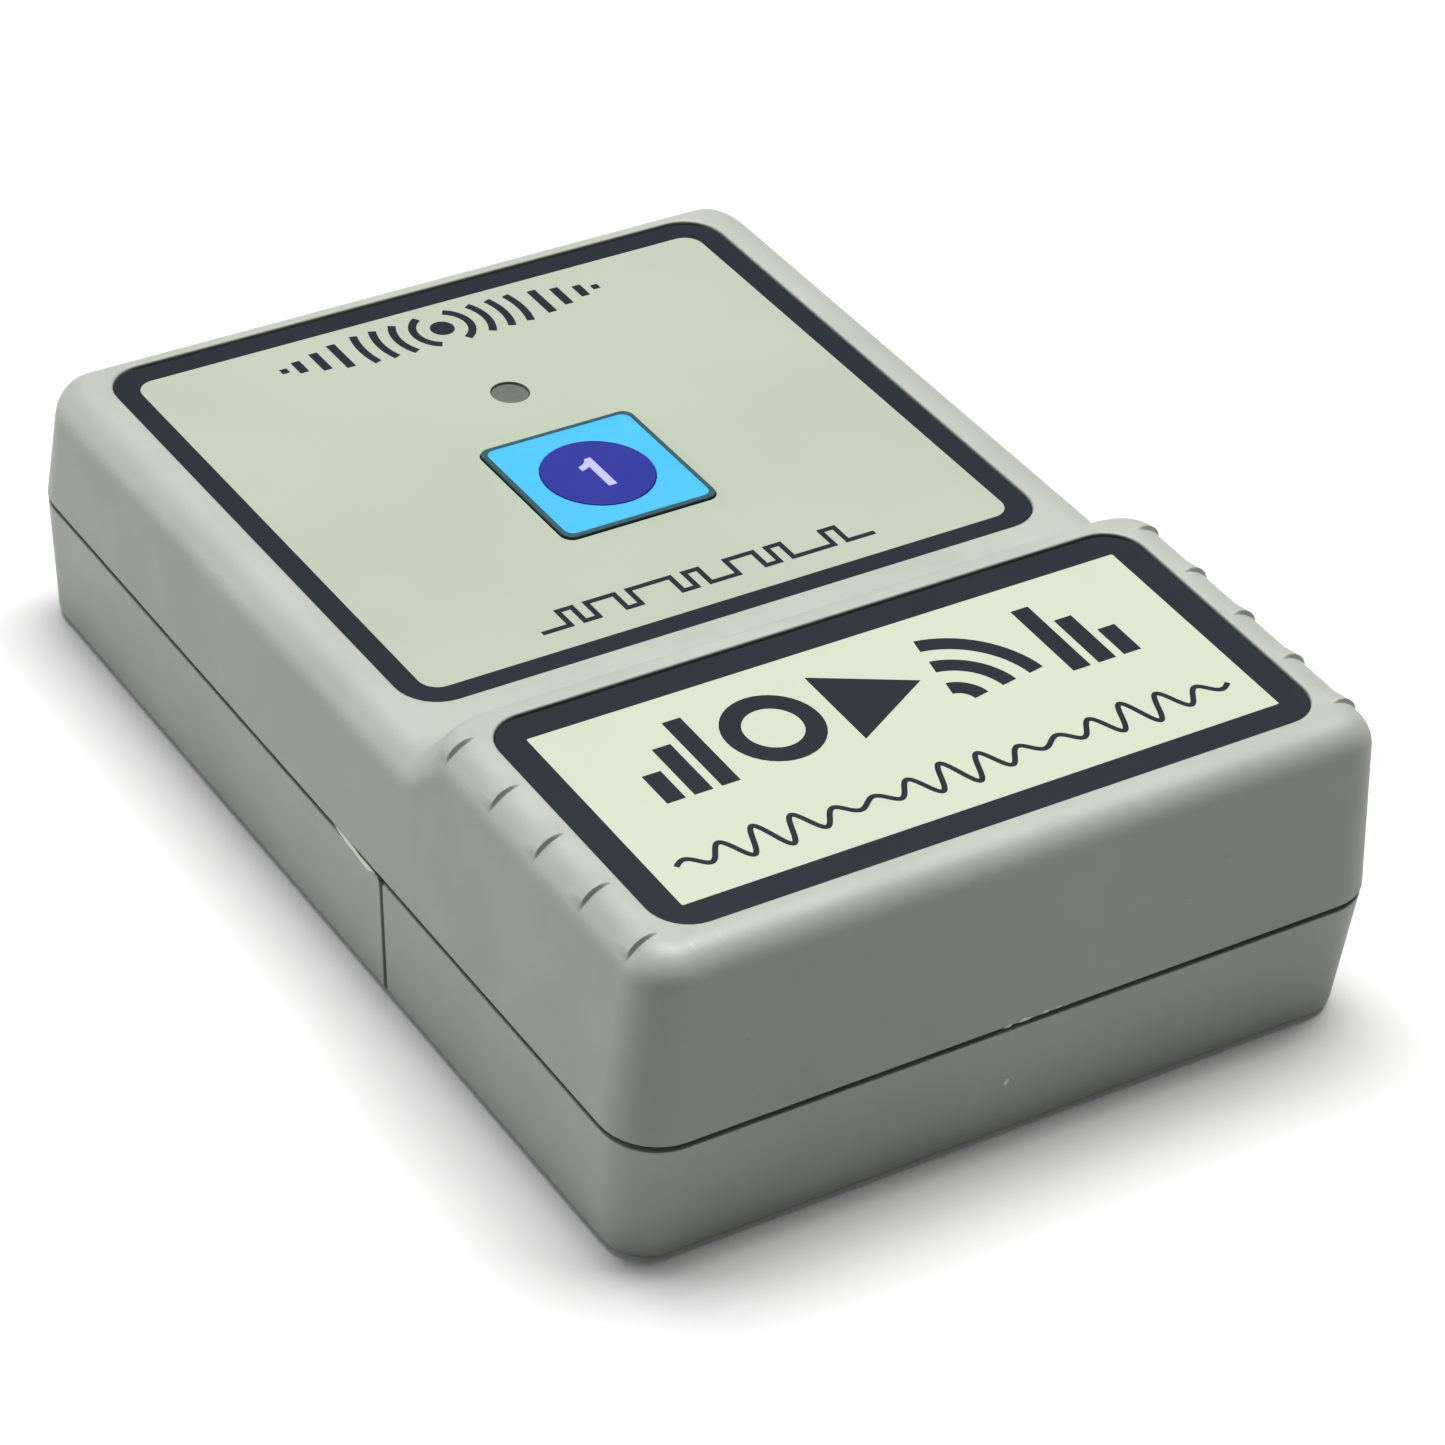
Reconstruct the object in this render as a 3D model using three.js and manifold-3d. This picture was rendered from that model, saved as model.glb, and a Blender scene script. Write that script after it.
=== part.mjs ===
// One-key hand-held radio transmitter: two-level case, sliding battery cover,
// printed labels, key, indicator, circuit board and nine volt battery.
// Millimetres. +X runs to the right, +Y to the antenna end, +Z up.
// The origin is the centre of the underside.
import * as THREE from 'three';
import { mergeVertices } from 'three/addons/utils/BufferGeometryUtils.js';
import Module from 'manifold-3d';

const wasm = await Module();
wasm.setup();

// ---- case ----
const HALF_WIDTH = 31.0;
const HALF_LENGTH = 43.8;
const CORNER_RADIUS = 4.2;
const HIGH_DECK_Z = 25.4;
const PARTING_Z = 10.75;
const PARTING_GAP = 0.3;
const SEAM_Y = -10.4;
const UPPER_DRAFT = 0.086;
const LOWER_DRAFT = 0.08;
const LOWER_INSET = 0.06;
const SIDE_FILLET = 3.0;
const REAR_FILLET = 1.7;
const FRONT_FILLET = 2.6;
const BOTTOM_FILLET = 1.3;
const WALL = 1.8;
const ROOF = 2.2;
const INNER_FILLET = 1.2;
const WALL_MARGIN = 0.06;

// ---- low deck: a plane that falls towards the antenna end ----
const DECK_Z = 21.4;
const DECK_FRONT_Y = -7.0;
const DECK_TILT = 0.0231;

// ---- step between the two decks ----
const CREST_Y = -13.1;
const CREST_RADIUS = 1.1;
const STEP_FOOT_Y = -11.2;

// ---- grip ribs on the raised deck ----
const RIB_COUNT = 5;
const RIB_FIRST_Y = -15.3;
const RIB_PITCH = 5.8;
const RIB_LENGTH = 1.8;
const RIB_HEIGHT = 0.35;

// ---- labels; the main label is measured in the low deck's own plane ----
const LABEL_THICKNESS = 0.3;
const LABEL_DEPTH = 0.65;
const LABEL_GAP = 0.2;
const LAMINATE_GAP = 0.05;
const MAIN_LABEL = { halfX: 26.5, front: 0, rear: 48.2, radius: 3.2 };
const NAME_LABEL = { halfX: 26.6, front: -39.6, rear: -14.9, radius: 3.0 };
const RATING_LABEL = { halfX: 16.0, front: 6.0, rear: 30.0, radius: 1.5 };
const RATING_DEPTH = 0.35;

// ---- key, switch and indicator, measured in the low deck's own plane ----
const KEY_Y = 20.0;
const KEY_HOLE_HALF = 6.6;
const KEY_GAP = 0.35;
const KEY_TOP_Z = -0.1;
const KEY_FLANGE_HALF = 7.6;
const KEY_FLANGE_Z = -3.5;
const KEY_FLANGE_THICKNESS = 0.9;
const KEY_RADIUS = 1.0;
const DISC_RADIUS = 4.3;
const DISC_HEIGHT = 0.55;
const DISC_SEAT = 0.5;
const WINDOW_Y = 32.7;
const WINDOW_Z = -3.0;
const WINDOW_RADIUS = 1.25;
const WINDOW_HOLE_RADIUS = 1.5;
const SWITCH_SIZE = 6.0;
const SWITCH_HEIGHT = 3.5;
const PLUNGER_RADIUS = 1.7;

// ---- circuit board ----
const BOARD = { halfX: 22.8, front: -6.5, rear: 34.0, radius: 1.0 };
const BOARD_Z = 11.0;
const BOARD_THICKNESS = 1.6;
const BOARD_TOP_Z = BOARD_Z + BOARD_THICKNESS;
const SOLDER_GAP = 0.1;
const BOARD_SCREWS = [[-18, 26], [18, 1]];

// ---- screws ----
const CASE_SCREWS = [[-26, 38.2], [26, 38.2], [-26, -4.5], [26, -4.5]];
const CASE_SCREW = { headRadius: 2.3, headHeight: 1.8, shankRadius: 1.1, length: 11.0, z: 2.4 };
const BOARD_SCREW = { headRadius: 2.0, headHeight: 1.3, shankRadius: 0.9, length: 6.0, z: 9.4 };

// ---- battery ----
const BATTERY = { length: 45.7, width: 26.0, height: 17.0, radius: 2.2 };
const BATTERY_CENTRE = new THREE.Vector3(-3.35, -27.7, 12.4);
const JACKET_THICKNESS = 0.5;
const TERMINAL_PITCH = 12.7;
const TERMINAL_HEIGHT = 2.3;

// ---- battery cover ----
const TONGUE_X = 18.0;
const TONGUE_HALF = 3.5;
const TONGUE_TIP_Y = -7.2;
const TONGUE_Z = [2.2, 3.4];
const PARTITION_REAR_Y = -8.6;
const PARTITION_FRONT_Y = -10.6;

const FAR = 80;
const FINEST = 0.0008;

// ---------------------------------------------------------------- helpers

// A closed three.js geometry as a solid that can be joined and cut.
function solid(geometry) {
  const bare = geometry.clone();
  bare.deleteAttribute('normal');
  bare.deleteAttribute('uv');
  const merged = mergeVertices(bare, 1e-4);
  return new wasm.Manifold(new wasm.Mesh({
    numProp: 3,
    vertProperties: merged.attributes.position.array,
    triVerts: Uint32Array.from(merged.index.array),
  }));
}

// Triangles with every edge shorter than FINEST closed up.
function withoutShortEdges(points, triangles) {
  const owner = points.map((point, i) => i);
  const find = (i) => (owner[i] === i ? i : find(owner[i]));
  for (const corners of triangles) {
    for (let k = 0; k < 3; k += 1) {
      const a = find(corners[k]);
      const b = find(corners[(k + 1) % 3]);
      if (points[a].distanceTo(points[b]) < FINEST) owner[Math.max(a, b)] = Math.min(a, b);
    }
  }
  return triangles
    .map((corners) => corners.map(find))
    .filter(([a, b, c]) => a !== b && b !== c && c !== a);
}

// A triangle's least height, and the corner opposite its longest side.
function needle(points, corners) {
  const lengths = corners.map((a, k) => points[corners[(k + 1) % 3]].distanceTo(points[corners[(k + 2) % 3]]));
  const longest = Math.max(...lengths);
  const triangle = new THREE.Triangle(...corners.map((i) => points[i]));
  return { height: (2 * triangle.getArea()) / longest, tip: lengths.indexOf(longest) };
}

// Turns the long side that each needle-thin triangle shares with its neighbour.
function turnNeedles(points, triangles) {
  const sides = new Map();
  triangles.forEach((corners, t) => {
    corners.forEach((a, k) => sides.set(`${a},${corners[(k + 1) % 3]}`, t));
  });
  let turned = 0;
  const touched = new Set();
  triangles.forEach((corners, t) => {
    const { height, tip } = needle(points, corners);
    const [c, a, b] = [corners[tip], corners[(tip + 1) % 3], corners[(tip + 2) % 3]];
    const other = sides.get(`${b},${a}`);
    if (height > FINEST || touched.has(t) || touched.has(other)) return;
    const d = triangles[other].find((i) => i !== a && i !== b);
    if (sides.has(`${c},${d}`) || sides.has(`${d},${c}`)) return;
    triangles[t] = [c, a, d];
    triangles[other] = [d, b, c];
    touched.add(t).add(other);
    turned += 1;
  });
  return turned;
}

function geometryOf(shape) {
  const { vertProperties, triVerts } = shape.getMesh();
  const points = [];
  for (let i = 0; i < vertProperties.length; i += 3) {
    points.push(new THREE.Vector3().fromArray(vertProperties, i));
  }
  let triangles = [];
  for (let i = 0; i < triVerts.length; i += 3) {
    triangles.push([...triVerts.subarray(i, i + 3)]);
  }
  triangles = withoutShortEdges(points, triangles);
  for (let pass = 0; pass < 8 && turnNeedles(points, triangles) > 0; pass += 1);
  const geometry = new THREE.BufferGeometry().setFromPoints(points);
  geometry.setIndex(triangles.flat());
  geometry.computeVertexNormals();
  return geometry;
}

function roundedRectangle(x0, x1, y0, y1, radius) {
  const shape = new THREE.Shape();
  const quarter = Math.PI / 2;
  shape.absarc(x1 - radius, y0 + radius, radius, -quarter, 0, false);
  shape.absarc(x1 - radius, y1 - radius, radius, 0, quarter, false);
  shape.absarc(x0 + radius, y1 - radius, radius, quarter, 2 * quarter, false);
  shape.absarc(x0 + radius, y0 + radius, radius, 2 * quarter, 3 * quarter, false);
  return shape;
}

function prism(shape, z0, z1, curveSegments = 5) {
  const settings = { depth: z1 - z0, bevelEnabled: false, curveSegments };
  const geometry = new THREE.ExtrudeGeometry(shape, settings);
  return geometry.translate(0, 0, z0);
}

function labelShape({ halfX, front, rear, radius }, inset = 0) {
  const x = halfX - inset;
  return roundedRectangle(-x, x, front + inset, rear - inset, radius);
}

function box(x0, x1, y0, y1, z0, z1) {
  const geometry = new THREE.BoxGeometry(x1 - x0, y1 - y0, z1 - z0);
  return geometry.translate((x0 + x1) / 2, (y0 + y1) / 2, (z0 + z1) / 2);
}

function cylinder(radius, z0, z1, x = 0, y = 0, sides = 20) {
  const geometry = new THREE.CylinderGeometry(radius, radius, z1 - z0, sides);
  return geometry.rotateX(Math.PI / 2).translate(x, y, (z0 + z1) / 2);
}

// A turned piece: [radius, z] pairs from the axis round to the axis.
function turned(profile, sides = 20) {
  const points = profile.map(([radius, z]) => new THREE.Vector2(radius, z));
  return new THREE.LatheGeometry(points, sides).rotateX(Math.PI / 2);
}

// A round wire along a smooth curve through the points.
function wire(points, radius, steps, sides = 8) {
  const section = new THREE.Shape();
  section.absarc(0, 0, radius, 0, 2 * Math.PI, false);
  const extrudePath = new THREE.CatmullRomCurve3(points);
  const settings = { steps, extrudePath, bevelEnabled: false, curveSegments: sides };
  return new THREE.ExtrudeGeometry(section, settings);
}

function material(color, roughness, metalness = 0) {
  return new THREE.MeshStandardMaterial({ color, roughness, metalness });
}

const looks = {
  shell: material(0xcdd0c3, 0.55),
  mainLabel: material(0xc6d6be, 0.45),
  nameLabel: material(0xdde9d0, 0.45),
  ratingLabel: material(0xe4e4e0, 0.5),
  key: material(0x5bd0ff, 0.4),
  disc: material(0x3d409e, 0.4),
  window: material(0x788278, 0.15),
  board: material(0x1f5c3a, 0.5),
  blackPlastic: material(0x1c1d1f, 0.5),
  led: material(0xc0392b, 0.15),
  steel: material(0xb9bcc0, 0.35, 0.9),
  copper: material(0xb87333, 0.35, 0.9),
  jacket: material(0x2c3550, 0.4, 0.3),
  core: material(0x26272a, 0.7),
  foam: material(0x4a4b4d, 0.95),
  redLead: material(0xb01e1e, 0.5),
  blackLead: material(0x151515, 0.5),
};

function piece(name, geometry, look, x = 0, y = 0, z = 0) {
  const mesh = new THREE.Mesh(geometry, look);
  mesh.name = name;
  mesh.position.set(x, y, z);
  return mesh;
}

// ---------------------------------------------------------------- case

// The case's plan outline as a block with filleted top and bottom edges. It has its
// full size at the parting plane, and its walls lean in by `draft` for each millimetre
// above it. The side edges are rounder than the ends, and the top may be tilted.
function caseBlock({ inset, bottom, top, draft, fillet, endFillet, tilt = 0 }) {
  const x = HALF_WIDTH - inset;
  const y = HALF_LENGTH - inset;
  const outline = roundedRectangle(-x, x, -y, y, CORNER_RADIUS - inset);
  const geometry = new THREE.ExtrudeGeometry(outline, {
    depth: top - bottom - 2 * fillet,
    bevelThickness: fillet,
    bevelSize: endFillet,
    bevelOffset: -endFillet,
    bevelSegments: 3,
    curveSegments: 5,
  });
  geometry.translate(0, 0, bottom + fillet);
  const position = geometry.attributes.position;
  for (let i = 0; i < position.count; i += 1) {
    const level = position.getZ(i);
    const slope = level > PARTING_Z ? tilt : 0;
    const lean = draft * (level - slope * (position.getY(i) - DECK_FRONT_Y) - PARTING_Z);
    const rise = Math.max(0, level - top + fillet) / fillet;
    const crown = (fillet - endFillet) * (1 - Math.sqrt(Math.max(0, 1 - rise * rise)));
    position.setX(i, position.getX(i) * (1 - (lean + crown) / HALF_WIDTH));
    position.setY(i, position.getY(i) * (1 - lean / HALF_LENGTH));
    position.setZ(i, level - slope * (position.getY(i) - DECK_FRONT_Y));
  }
  return solid(geometry);
}

// Everything in front of the step, whose crest is rounded, moved forward by `shift`.
function frontOfStep(shift) {
  const profile = new THREE.Shape();
  const crest = CREST_Y - shift;
  profile.moveTo(-FAR, 0);
  profile.lineTo(STEP_FOOT_Y - shift, 0);
  profile.lineTo(STEP_FOOT_Y - shift, DECK_Z);
  const centreZ = HIGH_DECK_Z - CREST_RADIUS + 0.02;
  profile.absarc(crest - CREST_RADIUS, centreZ, CREST_RADIUS, 0.3, Math.PI / 2, false);
  profile.lineTo(crest - CREST_RADIUS, FAR);
  profile.lineTo(-FAR, FAR);
  const geometry = prism(profile, -FAR, FAR);
  const along = new THREE.Matrix4().makeBasis(
    new THREE.Vector3(0, 1, 0),
    new THREE.Vector3(0, 0, 1),
    new THREE.Vector3(1, 0, 0),
  );
  return solid(geometry.applyMatrix4(along));
}

const BELOW_PARTING = solid(box(-FAR, FAR, -FAR, FAR, -FAR, PARTING_Z + PARTING_GAP / 2));
const ABOVE_PARTING = solid(box(-FAR, FAR, -FAR, FAR, PARTING_Z - PARTING_GAP / 2, FAR));

function lowBlock(inset, depth, fillet, endFillet) {
  const top = DECK_Z - depth;
  return caseBlock({ inset, bottom: 0, top, draft: UPPER_DRAFT, fillet, endFillet, tilt: DECK_TILT });
}

function highBlock(inset, depth, fillet, endFillet) {
  const top = HIGH_DECK_Z - depth;
  return caseBlock({ inset, bottom: 0, top, draft: UPPER_DRAFT, fillet, endFillet });
}

// The two-level body. The low block's walls stand a hair inside the high block's.
function body(inset, depth, fillet, endFillets) {
  const low = lowBlock(inset + WALL_MARGIN, depth, fillet, endFillets.low);
  return low.add(highBlock(inset, depth, fillet, endFillets.high).intersect(frontOfStep(inset)));
}

function gripRibs() {
  const swollen = highBlock(-RIB_HEIGHT, 0, SIDE_FILLET, FRONT_FILLET);
  let ribs = null;
  for (let i = 0; i < RIB_COUNT; i += 1) {
    const y = RIB_FIRST_Y - RIB_PITCH * i;
    const band = box(-FAR, FAR, y, y + RIB_LENGTH, HIGH_DECK_Z - 3.3, HIGH_DECK_Z - 0.45);
    const ridge = swollen.intersect(solid(band));
    ribs = ribs ? ribs.add(ridge) : ridge;
  }
  return ribs;
}

// The middle of the low deck's thickness, where posts and walls under it end.
function roofMiddle(y) {
  return DECK_Z - DECK_TILT * (y - DECK_FRONT_Y) - ROOF + 0.6;
}

// Posts that hang from the roof and take the case screws and the board screws.
function addUpperPosts(shell) {
  let result = shell;
  for (const [x, y] of CASE_SCREWS) {
    const post = solid(cylinder(2.8, PARTING_Z + PARTING_GAP / 2, roofMiddle(y), x, y));
    result = result.add(post).subtract(solid(cylinder(1.4, 0, 15.6, x, y, 12)));
  }
  for (const [x, y] of BOARD_SCREWS) {
    const post = solid(cylinder(2.3, BOARD_TOP_Z + 0.3, roofMiddle(y), x, y));
    result = result.add(post).subtract(solid(cylinder(1.2, 0, 17.2, x, y, 12)));
  }
  return result;
}

// A wall between the battery bay and the board, notched for the two leads.
function upperPartition() {
  const top = roofMiddle(PARTITION_FRONT_Y);
  const wall = box(-29.7, 29.7, PARTITION_FRONT_Y, -9.2, PARTING_Z + PARTING_GAP / 2, top);
  const notch = box(16.6, 26.0, -12.0, -8.0, 0, 16.0);
  return solid(wall).subtract(solid(notch));
}

// A piece or cutter drawn in the low deck's own plane, put in its place.
function onDeck(geometry) {
  return solid(geometry.rotateX(-DECK_TILT).translate(0, DECK_FRONT_Y, DECK_Z));
}

function topShell() {
  const outer = body(0, 0, SIDE_FILLET, { low: REAR_FILLET, high: FRONT_FILLET });
  const inner = body(WALL, ROOF, INNER_FILLET, { low: INNER_FILLET, high: INNER_FILLET });
  const hollow = outer.add(gripRibs()).subtract(inner).subtract(BELOW_PARTING);
  const nameRecess = prism(labelShape(NAME_LABEL), HIGH_DECK_Z - LABEL_DEPTH, FAR);
  const shell = addUpperPosts(hollow.add(upperPartition()))
    .subtract(solid(nameRecess))
    .subtract(onDeck(prism(labelShape(MAIN_LABEL), -LABEL_DEPTH, FAR)))
    .subtract(onDeck(keySquare(KEY_HOLE_HALF, -5, FAR)))
    .subtract(onDeck(cylinder(WINDOW_HOLE_RADIUS, -5, FAR, 0, WINDOW_Y)));
  return geometryOf(shell);
}

function lowerBlock(inset, bottom, fillet) {
  const settings = { inset, bottom, top: 30, draft: -LOWER_DRAFT, fillet, endFillet: fillet };
  return caseBlock(settings).subtract(ABOVE_PARTING);
}

function bottomShell() {
  const front = SEAM_Y + PARTING_GAP / 2;
  const outer = lowerBlock(LOWER_INSET, 0, BOTTOM_FILLET);
  const ahead = solid(box(-FAR, FAR, -FAR, front, -FAR, FAR));
  const partition = solid(box(-FAR, FAR, -FAR, PARTITION_REAR_Y, -FAR, FAR));
  const inner = lowerBlock(WALL, WALL, 1.0).subtract(partition);
  let shell = outer.subtract(ahead).subtract(inner);
  for (const [x, y] of CASE_SCREWS) {
    const post = solid(cylinder(3.2, 1.0, PARTING_Z - PARTING_GAP / 2, x, y));
    const headroom = solid(cylinder(2.7, -1, 4.5, x, y));
    const through = solid(cylinder(1.5, 0, 20, x, y, 12));
    shell = shell.add(post).subtract(headroom).subtract(through);
  }
  for (const x of [-TONGUE_X, TONGUE_X]) {
    const reach = TONGUE_HALF + 0.4;
    shell = shell.subtract(solid(box(x - reach, x + reach, -12, -8, WALL, TONGUE_Z[1] + 0.4)));
  }
  const recess = solid(prism(labelShape(RATING_LABEL), -1, RATING_DEPTH));
  return geometryOf(shell.subtract(recess));
}

function batteryCover() {
  const rear = SEAM_Y - PARTING_GAP / 2;
  const behind = solid(box(-FAR, FAR, rear, FAR, -FAR, FAR));
  const inner = lowerBlock(WALL, WALL, 1.0);
  let cover = lowerBlock(LOWER_INSET, 0, BOTTOM_FILLET).subtract(behind).subtract(inner);
  for (const x of [-TONGUE_X, TONGUE_X]) {
    const x0 = x - TONGUE_HALF;
    const x1 = x + TONGUE_HALF;
    const foot = solid(box(x0, x1, rear - 3, rear, 1.0, TONGUE_Z[1]));
    const tongue = solid(box(x0, x1, rear - 3, TONGUE_TIP_Y, TONGUE_Z[0], TONGUE_Z[1]));
    cover = cover.add(foot).add(tongue);
  }
  return geometryOf(cover);
}

// ---------------------------------------------------------------- labels

function mainLabel() {
  const base = LAMINATE_GAP - LABEL_DEPTH;
  const sheet = solid(prism(labelShape(MAIN_LABEL, LABEL_GAP), base, base + LABEL_THICKNESS));
  const label = sheet
    .subtract(solid(keySquare(KEY_HOLE_HALF, -FAR, FAR)))
    .subtract(solid(cylinder(WINDOW_HOLE_RADIUS, -FAR, FAR, 0, WINDOW_Y)));
  return geometryOf(label);
}

function nameLabel() {
  const base = HIGH_DECK_Z - LABEL_DEPTH + LAMINATE_GAP;
  return prism(labelShape(NAME_LABEL, LABEL_GAP), base, base + LABEL_THICKNESS);
}

function ratingLabel() {
  return prism(labelShape(RATING_LABEL, LABEL_GAP), LAMINATE_GAP, RATING_DEPTH - LAMINATE_GAP);
}

// ---------------------------------------------------------------- key and indicator

function keySquare(half, z0, z1) {
  const shape = roundedRectangle(-half, half, KEY_Y - half, KEY_Y + half, KEY_RADIUS);
  return prism(shape, z0, z1, 4);
}

function keyCap() {
  const flangeTop = KEY_FLANGE_Z + KEY_FLANGE_THICKNESS;
  const cap = solid(keySquare(KEY_HOLE_HALF - KEY_GAP, KEY_FLANGE_Z, KEY_TOP_Z))
    .add(solid(keySquare(KEY_FLANGE_HALF, KEY_FLANGE_Z, flangeTop)))
    .subtract(solid(cylinder(DISC_RADIUS + 0.1, KEY_TOP_Z - DISC_SEAT, FAR, 0, KEY_Y, 32)));
  return geometryOf(cap);
}

function ledWindow() {
  const flange = WINDOW_RADIUS + 0.8;
  return turned([[0, 0], [flange, 0], [flange, 0.6], [WINDOW_RADIUS, 0.6], [WINDOW_RADIUS, 2.65], [0, 2.75]]);
}

function led() {
  const dome = [];
  for (let i = 0; i <= 4; i += 1) {
    const angle = (Math.PI / 8) * i;
    dome.push([1.5 * Math.cos(angle), 3.2 + 1.5 * Math.sin(angle)]);
  }
  dome[4][0] = 0;
  return turned([[0, 0], [1.9, 0], [1.9, 1.0], [1.5, 1.0], ...dome], 16);
}

function tactSwitch() {
  const half = SWITCH_SIZE / 2;
  const body = solid(box(-half, half, -half, half, 0, SWITCH_HEIGHT));
  return geometryOf(body.subtract(solid(cylinder(PLUNGER_RADIUS + 0.25, 1.7, FAR, 0, 0, 16))));
}

function switchPlunger() {
  return cylinder(PLUNGER_RADIUS, 2.1, 4.5, 0, 0, 16);
}

// ---------------------------------------------------------------- board

function circuitBoard() {
  let board = solid(prism(labelShape(BOARD), 0, BOARD_THICKNESS, 3));
  for (const [x, y] of BOARD_SCREWS) {
    board = board.subtract(solid(cylinder(1.3, -1, 3, x, y, 16)));
  }
  return geometryOf(board);
}

// A surface-mount chip: its lead pairs are bars that cross under the body.
function encoderChip() {
  let chip = solid(box(-5, 5, -1.95, 1.95, 0.15, 1.75));
  for (let i = 0; i < 8; i += 1) {
    const x = -4.445 + 1.27 * i;
    chip = chip.add(solid(box(x - 0.2, x + 0.2, -3.0, 3.0, 0, 0.25)));
  }
  return geometryOf(chip);
}

function resonatorCan() {
  return turned([[0, 0], [4.6, 0], [4.6, 0.5], [4.1, 0.5], [4.1, 3.2], [3.8, 3.5], [0, 3.5]], 24);
}

function crystal() {
  return prism(roundedRectangle(-5.5, 5.5, -2.3, 2.3, 2.2), 0, 3.5, 5);
}

function capacitor() {
  return turned([[0, 0], [2.5, 0], [2.5, 0.7], [2.3, 0.9], [2.3, 1.1], [2.5, 1.3], [2.5, 4.9], [2.3, 5.1], [0, 5.1]]);
}

// A wound aerial coil lying along X, with a straight leg at each end.
function antennaCoil() {
  const turns = 7;
  const radius = 2.1;
  const pitch = 2.2;
  const height = 3.0;
  const half = (turns * pitch) / 2;
  const points = [new THREE.Vector3(-half, radius, 0.3)];
  for (let i = 0; i <= turns * 8; i += 1) {
    const angle = (i / 8) * 2 * Math.PI;
    const x = -half + (i / 8) * pitch;
    points.push(new THREE.Vector3(x, radius * Math.cos(angle), height + radius * Math.sin(angle)));
  }
  points.push(new THREE.Vector3(half, radius, 0.3));
  return wire(points, 0.4, turns * 11, 3);
}

// ---------------------------------------------------------------- battery

function batteryOutline(inset) {
  const x = BATTERY.width / 2 - inset;
  const y = BATTERY.height / 2 - inset;
  return roundedRectangle(-x, x, -y, y, BATTERY.radius - inset);
}

// The jacket and core are drawn standing on their end and turned to lie along X.
function lyingAlongX(geometry) {
  const along = new THREE.Matrix4().makeBasis(
    new THREE.Vector3(0, 1, 0),
    new THREE.Vector3(0, 0, 1),
    new THREE.Vector3(1, 0, 0),
  );
  return geometry.applyMatrix4(along);
}

function batteryJacket() {
  const half = BATTERY.length / 2;
  const outer = solid(prism(batteryOutline(0), -half, half));
  const inner = solid(prism(batteryOutline(JACKET_THICKNESS), -half - 1, half + 1));
  return lyingAlongX(geometryOf(outer.subtract(inner)));
}

function batteryCore() {
  const half = BATTERY.length / 2;
  return lyingAlongX(prism(batteryOutline(JACKET_THICKNESS + LAMINATE_GAP), -half + 0.2, half - 0.2));
}

function terminal(radius, sides) {
  const h = TERMINAL_HEIGHT;
  return lyingAlongX(turned([[0, 0], [radius, 0], [radius, h * 0.35], [radius * 0.86, h * 0.6], [radius, h], [0, h]], sides));
}

// A soft cap with a pocket over each terminal.
function snapConnector() {
  let cap = solid(prism(roundedRectangle(-12.5, 12.5, -6.0, 6.0, 5.0), 0, 4.4));
  for (const y of [-TERMINAL_PITCH / 2, TERMINAL_PITCH / 2]) {
    cap = cap.subtract(solid(cylinder(4.6, -1, 2.6, y, 0)));
  }
  return lyingAlongX(geometryOf(cap));
}

function lead(y, z, endX) {
  const points = [
    new THREE.Vector3(24.7, y, z),
    new THREE.Vector3(26.0, y + 1.3, z),
    new THREE.Vector3(26.0, -15.4, z),
    new THREE.Vector3(endX + 2.8, -11.6, z),
    new THREE.Vector3(endX, -7.0, z),
    new THREE.Vector3(endX, -4.4, z - 0.3),
    new THREE.Vector3(endX, -3.8, BOARD_TOP_Z + 0.6),
  ];
  return wire(points, 0.6, 28, 4);
}

function batteryPieces() {
  const group = new THREE.Group();
  group.position.copy(BATTERY_CENTRE);
  const end = BATTERY.length / 2;
  group.add(
    piece('battery_jacket', batteryJacket(), looks.jacket),
    piece('battery_core', batteryCore(), looks.core),
    piece('terminal_positive', terminal(2.8, 20), looks.steel, end, TERMINAL_PITCH / 2),
    piece('terminal_negative', terminal(4.0, 6), looks.steel, end, -TERMINAL_PITCH / 2),
    piece('snap_connector', snapConnector(), looks.blackPlastic, end + 0.3),
  );
  return group;
}

// ---------------------------------------------------------------- assembly

function screw({ headRadius, headHeight, shankRadius, length }) {
  const profile = [
    [0, 0], [headRadius * 0.8, 0], [headRadius, headHeight * 0.4], [headRadius, headHeight],
    [shankRadius, headHeight], [shankRadius, headHeight + length - 1], [0, headHeight + length],
  ];
  return turned(profile, 16);
}

function screws(prefix, settings, places) {
  return places.map(([x, y], i) => {
    const name = `${prefix}_${i + 1}`;
    return piece(name, screw(settings), looks.steel, x, y, settings.z);
  });
}

function boardPieces() {
  const group = new THREE.Group();
  group.position.z = BOARD_TOP_Z + SOLDER_GAP;
  group.add(
    piece('tact_switch', tactSwitch(), looks.blackPlastic, 0, DECK_FRONT_Y + KEY_Y),
    piece('switch_plunger', switchPlunger(), looks.blackPlastic, 0, DECK_FRONT_Y + KEY_Y),
    piece('led', led(), looks.led, 0, DECK_FRONT_Y + WINDOW_Y),
    piece('encoder_chip', encoderChip(), looks.blackPlastic, -9, 0),
    piece('resonator_can', resonatorCan(), looks.steel, 13, 22),
    piece('crystal', crystal(), looks.steel, -14, 14),
    piece('capacitor', capacitor(), looks.jacket, 8, 0),
    piece('antenna_coil', antennaCoil(), looks.copper, 0, 30.6),
  );
  return group;
}

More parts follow.
